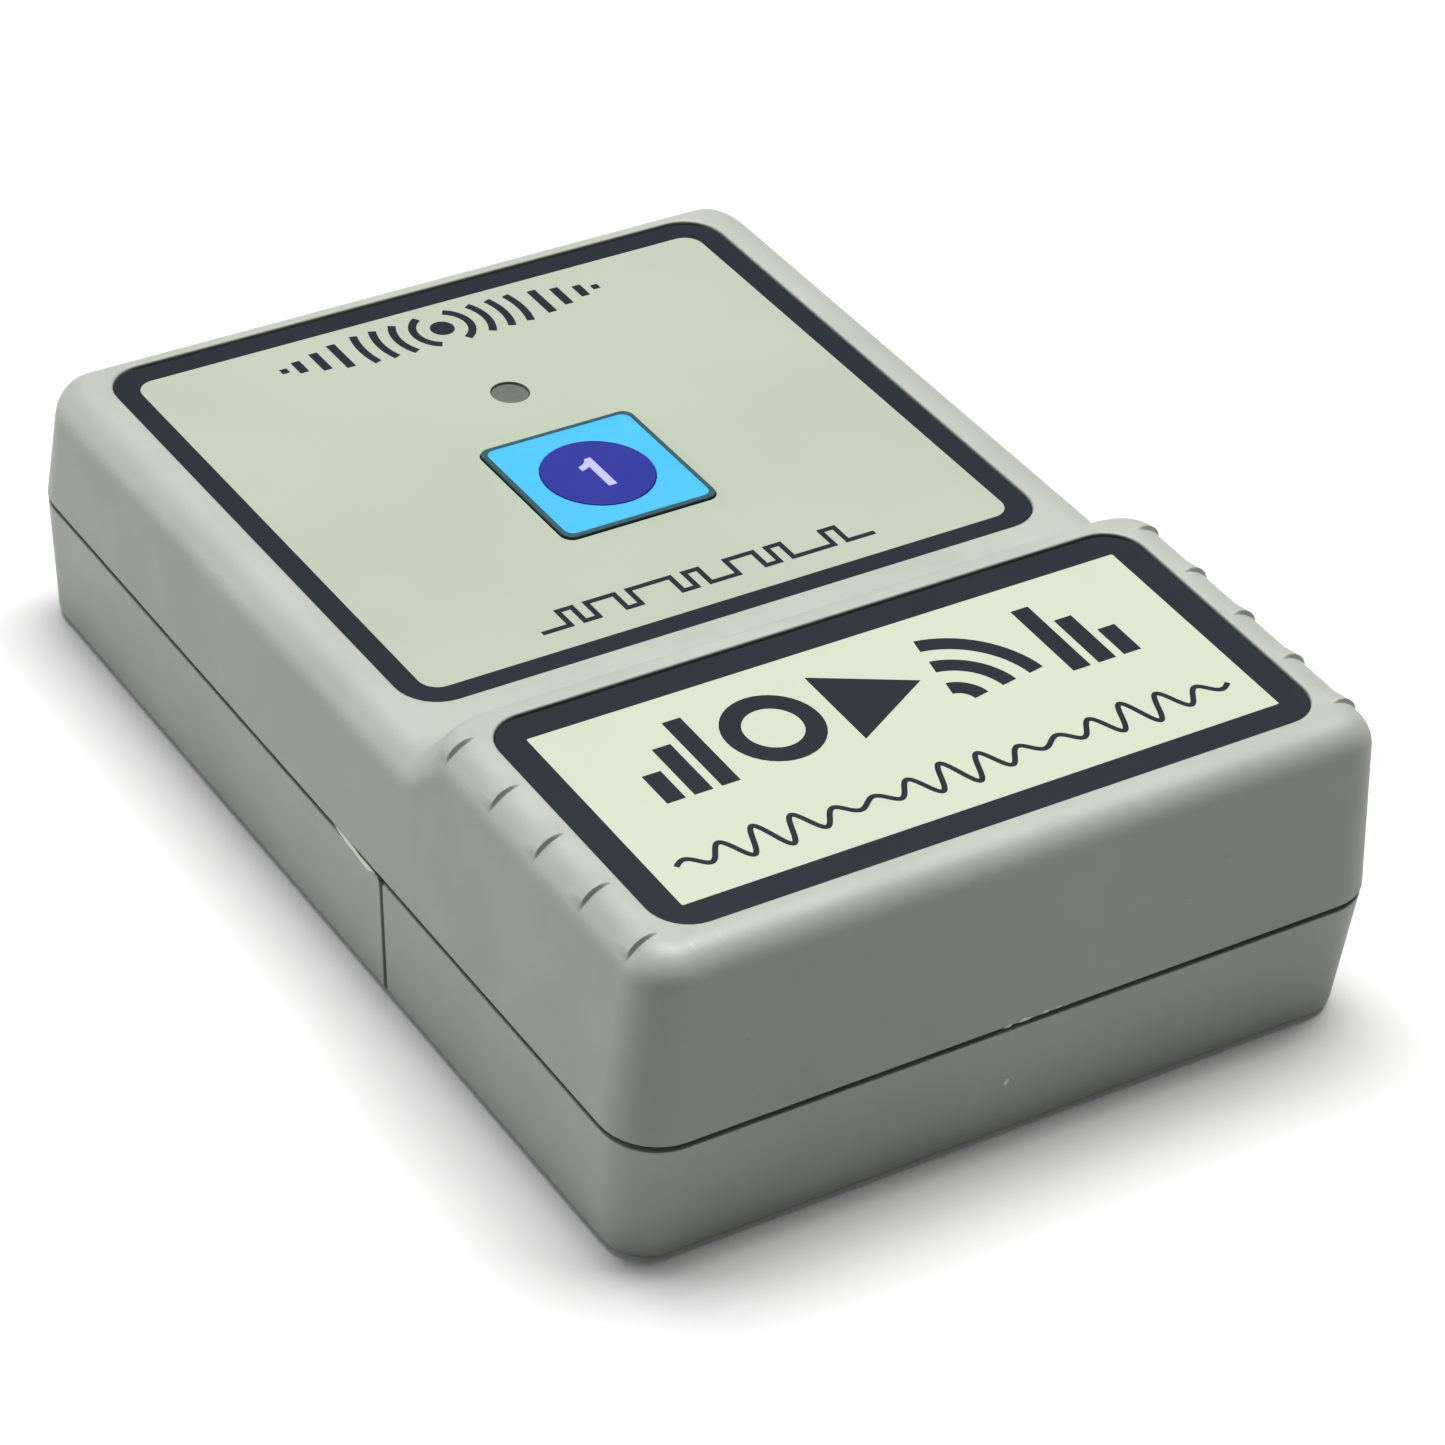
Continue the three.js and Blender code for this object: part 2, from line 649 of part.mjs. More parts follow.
// What lies in the low deck's own plane.
function deckPieces() {
  const group = new THREE.Group();
  group.position.set(0, DECK_FRONT_Y, DECK_Z);
  group.rotation.x = -DECK_TILT;
  const disc = cylinder(DISC_RADIUS, 0, DISC_HEIGHT, 0, 0, 32);
  const discBase = KEY_TOP_Z - DISC_SEAT + LAMINATE_GAP;
  group.add(
    piece('main_label', mainLabel(), looks.mainLabel),
    piece('key_cap', keyCap(), looks.key),
    piece('key_disc', disc, looks.disc, 0, KEY_Y, discBase),
    piece('led_window', ledWindow(), looks.window, 0, WINDOW_Y, WINDOW_Z),
  );
  return group;
}

function casePieces() {
  const group = new THREE.Group();
  const pad = prism(roundedRectangle(-20, 14, -33, -22, 1), 21.2, 22.9, 2);
  group.add(
    piece('top_shell', topShell(), looks.shell),
    piece('bottom_shell', bottomShell(), looks.shell),
    piece('battery_cover', batteryCover(), looks.shell),
    piece('name_label', nameLabel(), looks.nameLabel),
    piece('rating_label', ratingLabel(), looks.ratingLabel),
    piece('battery_pad', pad, looks.foam),
  );
  return group;
}

const group = new THREE.Group();
group.add(
  casePieces(),
  deckPieces(),
  boardPieces(),
  batteryPieces(),
  piece('circuit_board', circuitBoard(), looks.board, 0, 0, BOARD_Z),
  piece('lead_red', lead(-20.6, 15.0, 18.0), looks.redLead),
  piece('lead_black', lead(-19.0, 13.6, 20.3), looks.blackLead),
  ...screws('case_screw', CASE_SCREW, CASE_SCREWS),
  ...screws('board_screw', BOARD_SCREW, BOARD_SCREWS),
);

export default group;
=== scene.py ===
"""Looks for a two-level hand-held radio transmitter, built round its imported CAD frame.

Shapes are worked out in millimetres, in the frame's own axes (+X right, +Y towards the
thin antenna end, +Z up, z = 0 on the table), and turned into metres as objects are made.
"""
import math

import bmesh
import bpy
import numpy as np
from mathutils import Matrix, Vector


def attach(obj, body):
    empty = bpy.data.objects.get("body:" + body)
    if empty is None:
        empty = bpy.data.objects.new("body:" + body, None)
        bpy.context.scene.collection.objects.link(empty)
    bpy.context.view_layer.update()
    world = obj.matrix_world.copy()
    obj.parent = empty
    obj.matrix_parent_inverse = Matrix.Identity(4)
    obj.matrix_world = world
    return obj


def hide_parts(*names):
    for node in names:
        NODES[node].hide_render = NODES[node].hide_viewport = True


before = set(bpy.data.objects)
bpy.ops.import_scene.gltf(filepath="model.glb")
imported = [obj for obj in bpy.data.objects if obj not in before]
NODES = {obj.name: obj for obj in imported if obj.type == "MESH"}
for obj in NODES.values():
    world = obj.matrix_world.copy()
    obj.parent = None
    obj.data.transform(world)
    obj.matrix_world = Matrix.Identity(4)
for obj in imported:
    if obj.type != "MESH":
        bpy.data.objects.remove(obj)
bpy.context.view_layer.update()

MM = 0.001

# ---- case: the CAD's sizes, with the lips and the seam drawn from the photograph ----
HALF_WIDTH = 31.0
HALF_LENGTH = 43.8
CORNER = 4.2
CORE_X = HALF_WIDTH - CORNER
CORE_Y = HALF_LENGTH - CORNER
PARTING_Z = 10.75
UPPER_LIP_Z = 10.95
LOWER_LIP_Z = 10.56
UPPER_DRAFT = 0.086
LOWER_DRAFT = 0.08
LOWER_INSET = 0.04
HIGH_Z = 25.4
DECK_Z = 21.4
DECK_FRONT_Y = -7.0
DECK_TILT = 0.0231
WALL = 1.8
ROOF = 2.2
SIDE_FILLET = 3.0
FRONT_FILLET = 2.6
REAR_FILLET = 1.8
INNER_FILLET = 1.2
LOWER_INNER_FILLET = 1.0
BOTTOM_FILLET = 1.0
UPPER_LIP_RADIUS = 0.08
LOWER_LIP_RADIUS = 0.22
# The seam's two faces, and the y, z and radius of the rounding where it meets the lip.
SEAM = (-10.64, -10.18)
SEAM_CORNER = (-10.41, 10.6, 0.42)

# ---- step between the decks: a pair is (in the middle, at its two ends) ----
STEP_TOP_Y = -14.25
STEP_HALF_X = 31.4
STEP_CORNER = 6.4
CREST_RADIUS = 1.3
FOOT_RADIUS = (1.2, 2.8)
STEP_SLOPE = (math.radians(72), math.radians(50))
# The change from the middle to the ends starts and stops at these distances.
STEP_BLEND_X = (22, 29.5)

# ---- grip ribs: a steep face towards the front, then a ramp ----
RIB_Y = [-15.9 - 5.8 * i for i in range(5)]
RIB_HEIGHT = 0.32
RIB_LENGTH = 1.9
RIB_FACE = 0.12
RIB_SPAN = (math.radians(35), math.radians(84))
RIB_FADE = 0.55

# ---- labels: (half width, front, rear, corner radius), and (bottom, top) of each film ----
MAIN_RECESS = (26.5, 0.0, 48.2, 3.2)
NAME_RECESS = (26.6, -39.6, -14.9, 3.0)
RATING_RECESS = (16.0, 6.0, 30.0, 1.5)
LABEL_GAP = 0.04
RECESS_DEPTH = 0.65
RATING_DEPTH = 0.35
MAIN_FILM = (-0.6, -0.3)
NAME_FILM = (24.8, 25.1)
RATING_FILM = (0.05, 0.3)
FILM_EDGE = 0.07
# Printed bands: (width, inner corner radius), then how they wrap the film's edge.
MAIN_BAND = (1.95, 1.5)
NAME_BAND = (2.4, 0.15)
BAND_EDGE, BAND_PROUD, BAND_REACH = 0.08, 0.01, 0.25
RATING_MARGIN = 1.2
INK = 0.02
DIGIT_INK = 0.03

# ---- key and indicator window, in the low deck's plane ----
# A pair for a square is (half width, corner radius); for a height, (bottom, top).
KEY_Y = 20.0
KEY_TOP = -0.1
KEY_HALF = 6.25
KEY_RADIUS = 0.9
KEY_RIM = 6.51
KEY_RIM_OVERLAP = 0.14
KEY_RIM_DEPTH = 1.2
KEY_HOLE = (6.6, 1.0)
KEY_FLANGE = (7.6, 1.0)
KEY_FLANGE_Z = (-3.5, -2.6)
PAD_RADIUS = 4.28
PAD_Z = (-0.45, 0.05)
PAD_SEAT = ((4.36, 0), (4.32, 0.05), (4.32, 0.5))
WINDOW_Y = 32.7
WINDOW_RADIUS = 1.25
WINDOW_HOLE = 1.5
WINDOW_FLANGE_Z = (-3.0, -2.4)
THROUGH_ROOF = (-6, 3)

# ---- screws, and the posts and wells they sit in ----
CASE_SCREWS = [(-26, 38.2), (26, 38.2), (-26, -4.5), (26, -4.5)]
BOARD_SCREWS = [(-18, 26), (18, 1)]
HEAD_Z = 2.4
HEAD_RADIUS, HEAD_HEIGHT = 2.3, 1.8
SHANK_RADIUS, SHANK_LENGTH = 1.1, 11.0
THREAD_PITCH = 0.55
SLOT_HALF_LENGTH, SLOT_HALF_WIDTH, SLOT_DEPTH = 1.35, 0.22, 0.75
UPPER_POST, UPPER_BORE, UPPER_BORE_Z = 2.8, 1.4, (5, 15.6)
BOARD_POST, BOARD_BORE, BOARD_BORE_Z = 2.3, 1.2, (5, 17.2)
BOARD_POST_FOOT = 12.9
LOWER_POST, LOWER_BORE, LOWER_BORE_Z = 3.2, 1.5, (3, 20)
HEAD_WELL, HEAD_WELL_Z = 2.7, (-1, 4.5)

# ---- partition between the board and the battery, and the cover's tongues ----
PARTITION_HALF_X = 29.6
PARTITION_Y = (-10.6, -9.2)
LOWER_PARTITION_HALF_X = 29.5
LOWER_PARTITION_Y = -8.6
LEAD_NOTCH = (16.6, 26.0, -12.0, -8.0, 5, 16.0)
TONGUE_X = (-18, 18)
TONGUE_HALF = 3.5
TONGUE_TIP_Y = -7.2
TONGUE_Z = (2.2, 3.4)
TONGUE_SLOT_HALF = 3.9
TONGUE_SLOT = (-12, -8, WALL, 3.8)

# ---- how far joined parts run into each other, and cutters past what they cut ----
JOIN = 0.02
MEET = 0.001
SUNK = 1.6
IN_FLOOR_Z = 1.0
FAR = 60
BELOW, ABOVE = -20, 40

# ---- meshes and shading ----
ROUND_STEPS = 8
SHARP_ANGLE = math.radians(35)
NORMAL_WEIGHT = 60

scene = bpy.context.scene


# ------------------------------------------------------------------ mesh helpers

def make(name, points, faces):
    """A new object from points in millimetres."""
    mesh = bpy.data.meshes.new(name)
    mesh.from_pydata((np.asarray(points, float) * MM).tolist(), [], faces)
    shape = bmesh.new()
    shape.from_mesh(mesh)
    bmesh.ops.recalc_face_normals(shape, faces=shape.faces)
    shape.to_mesh(mesh)
    shape.free()
    made = bpy.data.objects.new(name, mesh)
    scene.collection.objects.link(made)
    return made


def band(count, low, high):
    """Faces between two loops of `count` points that start at those indices."""
    faces = []
    for i in range(count):
        j = (i + 1) % count
        faces.append([low + i, low + j, high + j, high + i])
    return faces


def closed_loft(loops):
    """A closed solid through loops of equal length, capped at both ends."""
    count, last = len(loops[0]), len(loops) - 1
    faces = [list(range(count))[::-1]]
    for level in range(last):
        faces += band(count, level * count, (level + 1) * count)
    faces.append([last * count + i for i in range(count)])
    return np.vstack(loops), faces


def ring_loft(loops):
    """A closed ring: the last loop joins the first."""
    count = len(loops[0])
    faces = []
    for level in range(len(loops)):
        faces += band(count, level * count, (level + 1) % len(loops) * count)
    return np.vstack(loops), faces


def merged(parts):
    """Several (points, faces) as one."""
    points, faces, base = [], [], 0
    for p, f in parts:
        points.append(p)
        faces += [[i + base for i in face] for face in f]
        base += len(p)
    return np.vstack(points), faces


def at_height(plan, z):
    """A plan outline as a loop at height z."""
    plan = np.asarray(plan, float)
    return np.column_stack([plan, np.full(len(plan), z)])


def rectangle(half_x, y0, y1, radius, grow=0.0):
    """A rounded rectangle, anticlockwise from its front right corner."""
    radius = max(radius + grow, 0.01)
    x = half_x + grow - radius
    low, high = y0 - grow + radius, y1 + grow - radius
    points = []
    for corner, (cx, cy) in enumerate([(x, low), (x, high), (-x, high), (-x, low)]):
        for k in range(ROUND_STEPS + 1):
            angle = math.pi / 2 * (corner - 1 + k / ROUND_STEPS)
            points.append((cx + radius * math.cos(angle), cy + radius * math.sin(angle)))
    return np.array(points)


def circle(x, y, radius, steps=ROUND_STEPS):
    """A circle, by default with as many points as rectangle() and in the same order."""
    count = 4 * (steps + 1)
    angles = 2 * math.pi * (np.arange(count) + 0.5) / count - math.pi / 2
    return np.column_stack([x + radius * np.cos(angles), y + radius * np.sin(angles)])


def round_edge(radius, steps=4):
    """(inset, drop) pairs from a side up and over a rounded edge to the top."""
    turns = [math.pi / 2 * k / steps for k in range(steps + 1)]
    return [(radius * (1 - math.cos(a)), radius * (1 - math.sin(a))) for a in turns]


def plate(outline_at, z0, z1, radius):
    """A plate with a rounded top edge; outline_at(grow) gives its outline."""
    loops = [at_height(outline_at(0), z0)]
    loops += [at_height(outline_at(-inset), z1 - drop) for inset, drop in round_edge(radius)]
    return closed_loft(loops)


def recess(size, depth_z, mouth_z, flare=0.16):
    """A cutter whose mouth opens out, so the rim it leaves is softly rounded."""
    wide = rectangle(*size, grow=flare + 0.03)
    loops = [at_height(rectangle(*size), depth_z)]
    for grow, fall in round_edge(flare):
        loops.append(at_height(rectangle(*size, grow=grow), mouth_z - fall))
    loops += [at_height(wide, mouth_z + 0.02), at_height(wide, mouth_z + 3)]
    return closed_loft(loops)


def tube(x, y, radius, z0, z1, steps=6):
    """A round bar."""
    return closed_loft([at_height(circle(x, y, radius, steps), z) for z in (z0, z1)])


def block(x0, x1, y0, y1, z0, z1):
    plan = [(x0, y0), (x1, y0), (x1, y1), (x0, y1)]
    return closed_loft([at_height(plan, z) for z in (z0, z1)])


def on_deck(part):
    """A part drawn in the low deck's own plane, put in its place."""
    points, faces = part
    turn = Matrix.Rotation(-DECK_TILT, 3, "X")
    moved = points @ np.array(turn).T + np.array([0, DECK_FRONT_Y, DECK_Z])
    return moved, faces


def boolean(target, operation, *parts):
    """Applies one exact boolean with a cutter that is then thrown away."""
    cutter = make("cutter", *merged(parts))
    modifier = target.modifiers.new("cut", "BOOLEAN")
    modifier.solver = "EXACT"
    modifier.operation = operation
    modifier.object = cutter
    settle(target)
    bpy.data.objects.remove(cutter)


def settle(target):
    """Applies the modifiers."""
    graph = bpy.context.evaluated_depsgraph_get()
    mesh = bpy.data.meshes.new_from_object(target.evaluated_get(graph))
    target.modifiers.clear()
    old = target.data
    target.data = mesh
    bpy.data.meshes.remove(old)


def smooth(obj):
    """Smooth shading with sharp edges kept, and flat faces left flat."""
    obj.data.shade_smooth()
    obj.data.set_sharp_from_angle(angle=SHARP_ANGLE)
    modifier = obj.modifiers.new("normals", "WEIGHTED_NORMAL")
    modifier.keep_sharp = True
    modifier.weight = NORMAL_WEIGHT


def dress(obj, look):
    obj.data.materials.clear()
    obj.data.materials.append(look)


def ready(obj, body, look, replaced):
    """The last things done to a piece that stands in for a CAD node."""
    smooth(obj)
    dress(obj, look)
    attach(obj, body)
    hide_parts(replaced)


def mark(name, part, body, look, rounded=True):
    """Printing, or a small mark, that the CAD has no node for."""
    made = make(name, *part)
    if rounded:
        smooth(made)
    dress(made, look)
    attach(made, body)


# ------------------------------------------------------------------ case skins

def spaced(*groups):
    """Sorted values with near repeats dropped."""
    least = 0.045
    kept = []
    for value in sorted(v for group in groups for v in group):
        if not kept or value - kept[-1] > least:
            kept.append(value)
    return kept


def upper_rows():
    """Where the upper skin's grid lines lie along Y: closest at the ribs and the step."""
    across_rib = (-0.22, -0.12, -0.06, 0, 0.1, 0.5, 1.0, 1.5, 1.9, 2.2)
    ribs = [y + d for y in RIB_Y for d in across_rib]
    step = np.arange(STEP_TOP_Y - 3.4, -8.4, 0.2)
    return spaced(np.linspace(-CORE_Y, CORE_Y, 25), ribs, step)


def upper_columns():
    """Where they lie along X: closest where the step's slope changes."""
    edge = np.arange(20.4, CORE_X, 0.8)
    return spaced([-CORE_X, CORE_X], np.linspace(-20, 20, 9), edge, -edge)


def low_deck(y):
    """Height of the low deck, a plane that falls towards the thin end."""
    return DECK_Z - DECK_TILT * (y - DECK_FRONT_Y)


def step_drop(d, height, x):
    """How far the surface has dropped, d outside the line where the crest starts."""
    blend_from, blend_to = STEP_BLEND_X
    side = np.clip((x - blend_from) / (blend_to - blend_from), 0, 1)
    side = side * side * (3 - 2 * side)
    steep = STEP_SLOPE[0] + (STEP_SLOPE[1] - STEP_SLOPE[0]) * side
    foot = FOOT_RADIUS[0] + (FOOT_RADIUS[1] - FOOT_RADIUS[0]) * side
    sine, cosine, slope = np.sin(steep), np.cos(steep), np.tan(steep)
    crest_run, crest_fall = CREST_RADIUS * sine, CREST_RADIUS * (1 - cosine)
    foot_run, foot_fall = foot * sine, foot * (1 - cosine)
    total = crest_run + (height - crest_fall - foot_fall) / slope + foot_run
    on_crest = CREST_RADIUS - np.sqrt(CREST_RADIUS**2 - np.clip(d, 0, crest_run) ** 2)
    on_wall = crest_fall + (d - crest_run) * slope
    on_foot = height - foot + np.sqrt(foot**2 - np.clip(total - d, 0, foot_run) ** 2)
    lower = np.where(d < total - foot_run, on_wall, on_foot)
    return np.where(d < crest_run, on_crest, lower)


def upper_top(x, y, thickness=0.0):
    """Height of the upper surface, or of the one `thickness` inside it."""
    x = np.abs(x)
    corner_x, corner_y = STEP_HALF_X - STEP_CORNER, STEP_TOP_Y - STEP_CORNER
    out_x, out_y = x - corner_x, y - corner_y
    round_corner = np.hypot(np.maximum(out_x, 0), np.maximum(out_y, 0)) - STEP_CORNER
    straight = np.maximum(out_x, out_y) - STEP_CORNER
    d = np.where((out_x > 0) & (out_y > 0), round_corner, straight)
    d = d + (WALL if thickness else 0.0)
    height = HIGH_Z - low_deck(y)
    return HIGH_Z - step_drop(d, height, x) - thickness


def rib_swell(y, turn):
    """Sawtooth ribs, strongest half way up the side fillet and fading at both ends."""
    saw = np.zeros_like(y)
    for start in RIB_Y:
        after = y - start
        ramp = np.clip(1 - after / RIB_LENGTH, 0, 1)
        face = np.clip(1 + after / RIB_FACE, 0, 1)
        within = (after > -RIB_FACE) * (after < RIB_LENGTH)
        saw = np.maximum(saw, np.where(after < 0, face, ramp) * within)
    low, high = RIB_SPAN
    along = np.clip((turn - low) / (high - low), 0, 1)
    return RIB_HEIGHT * saw * np.sin(math.pi * along) ** RIB_FADE


class Skin:
    """An open surface from a lip, up a leaning wall and over a fillet to a flat.

    Each stop round the edge is (x, y, direction in half turns, column, row): a point of
    the core rectangle, the way out from it, and the grid point that it joins.
    """

    CORNER_STEPS = 9

    def __init__(self, rows, columns):
        self.rows, self.columns = rows, columns
        last_row, last_column = len(rows) - 1, len(columns) - 1
        stops = [(CORE_X, y, 0.0, last_column, j) for j, y in enumerate(rows)]
        stops += self.corner(CORE_X, CORE_Y, 0, last_column, last_row)
        stops += [(x, CORE_Y, 0.5, i, last_row) for i, x in reversed(list(enumerate(columns)))]
        stops += self.corner(-CORE_X, CORE_Y, 1, 0, last_row)
        stops += [(-CORE_X, y, 1.0, 0, j) for j, y in reversed(list(enumerate(rows)))]
        stops += self.corner(-CORE_X, -CORE_Y, 2, 0, 0)
        stops += [(x, -CORE_Y, 1.5, i, 0) for i, x in enumerate(columns)]
        stops += self.corner(CORE_X, -CORE_Y, 3, last_column, 0)
        values = np.array(stops)
        self.core = values[:, :2]
        angle = values[:, 2] * math.pi
        self.outward = np.column_stack([np.cos(angle), np.sin(angle)])
        self.grid_index = (values[:, 4] * len(columns) + values[:, 3]).astype(int)

    def corner(self, x, y, quarter, i, j):
        steps = self.CORNER_STEPS
        return [(x, y, (quarter + k / steps) / 2, i, j) for k in range(1, steps)]

    def build(self, rings, flat):
        """rings: one (N, 3) array for each level; flat: heights for the inner grid."""
        count = len(self.core)
        grid_x, grid_y = np.meshgrid(self.columns, self.rows)
        grid = np.column_stack([grid_x.ravel(), grid_y.ravel(), flat(grid_x, grid_y).ravel()])
        faces = []
        for level in range(len(rings) - 1):
            faces += band(count, level * count, (level + 1) * count)
        base = len(rings) * count
        last = base - count
        for s in range(count):
            t = (s + 1) % count
            inner = [base + self.grid_index[t], base + self.grid_index[s]]
            # Round a corner the stops share one grid point, so the face has three sides.
            if inner[0] == inner[1]:
                inner = inner[:1]
            faces.append([last + s, last + t] + inner)
        width = len(self.columns)
        for j in range(len(self.rows) - 1):
            for i in range(width - 1):
                a = base + j * width + i
                faces.append([a, a + 1, a + 1 + width, a + width])
        return np.vstack(rings + [grid]), faces

    def plan(self, offset):
        """Plan points that far out from the core."""
        return self.core + self.outward * np.broadcast_to(offset, len(self.core))[:, None]

    def lip(self, radius, z, lip_radius, way):
        """Rings round a softly rounded lip; way is 1 for an upper half, -1 for a lower."""
        if not lip_radius:
            return []
        edge = round_edge(lip_radius, 3)[:0:-1]
        return [at_height(self.plan(radius - pull), z + way * rise) for pull, rise in edge]


def quarter_turns(steps):
    return [math.pi / 2 * k / steps for k in range(1, steps + 1)]


def upper_surface(skin, inset, thickness, fillets, lip_radius=0.0, ribs=False):
    """The upper half's outer surface, or the inner one."""
    side, front, rear = fillets
    share = skin.outward[:, 0] ** 2
    end = np.where(skin.outward[:, 1] < 0, front, rear)
    fillet = side * share + end * (1 - share)
    side_wall = (np.abs(skin.outward[:, 0]) > 0.999) * float(ribs)
    radius = CORNER - inset
    rings = skin.lip(radius, UPPER_LIP_Z, lip_radius, 1)
    lip = UPPER_LIP_Z + lip_radius
    levels = [(climb / 8, None) for climb in range(9)]
    levels += [(1.0, turn) for turn in quarter_turns(16)]
    for climb, turn in levels:
        offset = np.full(len(share), radius)
        angle = np.full(len(share), turn or 0.0)
        # The top's height depends on how far out the wall is, and the other way round.
        for _ in range(3):
            place = skin.plan(offset)
            base = upper_top(place[:, 0], place[:, 1], thickness) - fillet
            if turn is None:
                z = lip + climb * (base - lip)
                offset = radius - UPPER_DRAFT * (z - PARTING_Z)
            else:
                z = base + fillet * math.sin(turn)
                offset = radius - UPPER_DRAFT * (base - PARTING_Z) - fillet * (1 - math.cos(turn))
        swell = side_wall * rib_swell(skin.core[:, 1], angle)
        place = skin.plan(offset) + skin.outward * (swell * np.cos(angle))[:, None]
        rings.append(np.column_stack([place, z + swell * np.sin(angle)]))
    return skin.build(rings, lambda x, y: upper_top(x, y, thickness))


def lower_surface(skin, inset, bottom, fillet, lip_radius=0.0):
    """The lower half's outer surface, or the inner one, drawn from the lip down."""
    radius = CORNER - inset
    rings = skin.lip(radius, LOWER_LIP_Z, lip_radius, -1)
    base = bottom + fillet
    for z in np.linspace(LOWER_LIP_Z - lip_radius, base, 6):
        offset = radius - LOWER_DRAFT * (PARTING_Z - z)
        rings.append(at_height(skin.plan(offset), z))
    for turn in quarter_turns(8):
        place = skin.plan(offset - fillet * (1 - math.cos(turn)))
        rings.append(at_height(place, base - fillet * math.sin(turn)))
    return skin.build(rings, lambda x, y: np.full_like(x, bottom))


def hollow(skin, outer, inner, flip=False):
    """A closed wall between two surfaces, joined round their lips."""
    count, base = len(skin.core), len(outer[0])
    faces = outer[1] + [[i + base for i in face[::-1]] for face in inner[1]]
    for s in range(count):
        t = (s + 1) % count
        faces.append([t, s, base + s, base + t])
    if flip:
        faces = [face[::-1] for face in faces]
    return np.vstack([outer[0], inner[0]]), faces


# ------------------------------------------------------------------ case pieces

def openings():
    """Cutters for the key and the window, through the roof or the label."""
    half, radius = KEY_HOLE
    low, high = THROUGH_ROOF
    key = plate(lambda g: rectangle(half, KEY_Y - half, KEY_Y + half, radius, g), low, high, 0.01)
    return on_deck(merged([key, tube(0, WINDOW_Y, WINDOW_HOLE, low, high, 8)]))


def make_upper():
    skin = Skin(upper_rows(), upper_columns())
    fillets = (SIDE_FILLET, FRONT_FILLET, REAR_FILLET)
    outer = upper_surface(skin, 0.0, 0.0, fillets, UPPER_LIP_RADIUS, True)
    inner = upper_surface(skin, WALL, ROOF, (INNER_FILLET,) * 3)
    shell = make("upper_case", *hollow(skin, outer, inner))
    foot = UPPER_LIP_Z + JOIN
    posts = [tube(x, y, UPPER_POST, foot, low_deck(y) - SUNK) for x, y in CASE_SCREWS]
    posts += [tube(x, y, BOARD_POST, BOARD_POST_FOOT, low_deck(y) - SUNK) for x, y in BOARD_SCREWS]
    wall = (-PARTITION_HALF_X, PARTITION_HALF_X, *PARTITION_Y)
    posts.append(block(*wall, foot, low_deck(-10) - SUNK))
    boolean(shell, "UNION", *posts)
    holes = [tube(x, y, UPPER_BORE, *UPPER_BORE_Z) for x, y in CASE_SCREWS]
    holes += [tube(x, y, BOARD_BORE, *BOARD_BORE_Z) for x, y in BOARD_SCREWS]
    holes.append(block(*LEAD_NOTCH))
    holes.append(recess(NAME_RECESS, HIGH_Z - RECESS_DEPTH, HIGH_Z))
    holes.append(on_deck(recess(MAIN_RECESS, -RECESS_DEPTH, 0)))
    boolean(shell, "DIFFERENCE", *holes)
    boolean(shell, "DIFFERENCE", openings())
    return shell


def make_lower():
    """The lower half in two pieces, cut across at the seam."""
    rows, columns = np.linspace(-CORE_Y, CORE_Y, 27), np.linspace(-CORE_X, CORE_X, 15)
    skin = Skin(spaced(rows), spaced(columns))
    outer = lower_surface(skin, LOWER_INSET, 0.0, BOTTOM_FILLET, LOWER_LIP_RADIUS)
    inner = lower_surface(skin, WALL, WALL, LOWER_INNER_FILLET)
    tray = hollow(skin, outer, inner, flip=True)
    return make_bottom(tray), make_cover(tray)


def make_bottom(tray):
    shell = make("lower_case", *tray)
    boolean(shell, "DIFFERENCE", block(-FAR, FAR, -FAR, SEAM[1], BELOW, ABOVE))
    top = LOWER_LIP_Z - JOIN
    posts = [tube(x, y, LOWER_POST, IN_FLOOR_Z, top) for x, y in CASE_SCREWS]
    wall = (-LOWER_PARTITION_HALF_X, LOWER_PARTITION_HALF_X, SEAM[1] + MEET, LOWER_PARTITION_Y)
    posts.append(block(*wall, IN_FLOOR_Z, top))
    boolean(shell, "UNION", *posts)
    holes = [tube(x, y, HEAD_WELL, *HEAD_WELL_Z) for x, y in CASE_SCREWS]
    for x in TONGUE_X:
        holes.append(block(x - TONGUE_SLOT_HALF, x + TONGUE_SLOT_HALF, *TONGUE_SLOT))
    holes.append(recess_below(RATING_RECESS, RATING_DEPTH))
    boolean(shell, "DIFFERENCE", *holes)
    shanks = [tube(x, y, LOWER_BORE, *LOWER_BORE_Z) for x, y in CASE_SCREWS]
    boolean(shell, "DIFFERENCE", *shanks)
    boolean(shell, "DIFFERENCE", crossways(*SEAM_CORNER))
    return shell


def crossways(y, z, radius):
    """A round cutter right across the case."""
    section = circle(y, z, radius, 3)
    ends = [np.column_stack([np.full(len(section), x), section]) for x in (-FAR, FAR)]
    return closed_loft(ends)


def recess_below(size, depth):
    """A recess in the underside, with a softly rounded rim."""
    points, faces = recess(size, -depth, 0, 0.1)
    return points * [1, 1, -1], [face[::-1] for face in faces]


def make_cover(tray):
    cover = make("sliding_cover", *tray)
    boolean(cover, "DIFFERENCE", block(-FAR, FAR, SEAM[0], FAR, BELOW, ABOVE))
    low, high = TONGUE_Z
    roots, tips = [], []
    for x in TONGUE_X:
        sides = (x - TONGUE_HALF, x + TONGUE_HALF)
        roots.append(block(*sides, SEAM[0] - 3, SEAM[0] - MEET, IN_FLOOR_Z, high))
        tips.append(block(*sides, SEAM[0] - 2.5, TONGUE_TIP_Y, low, high))
    boolean(cover, "UNION", *roots)
    boolean(cover, "UNION", *tips)
    boolean(cover, "DIFFERENCE", crossways(*SEAM_CORNER))
    return cover


# ------------------------------------------------------------------ printed labels

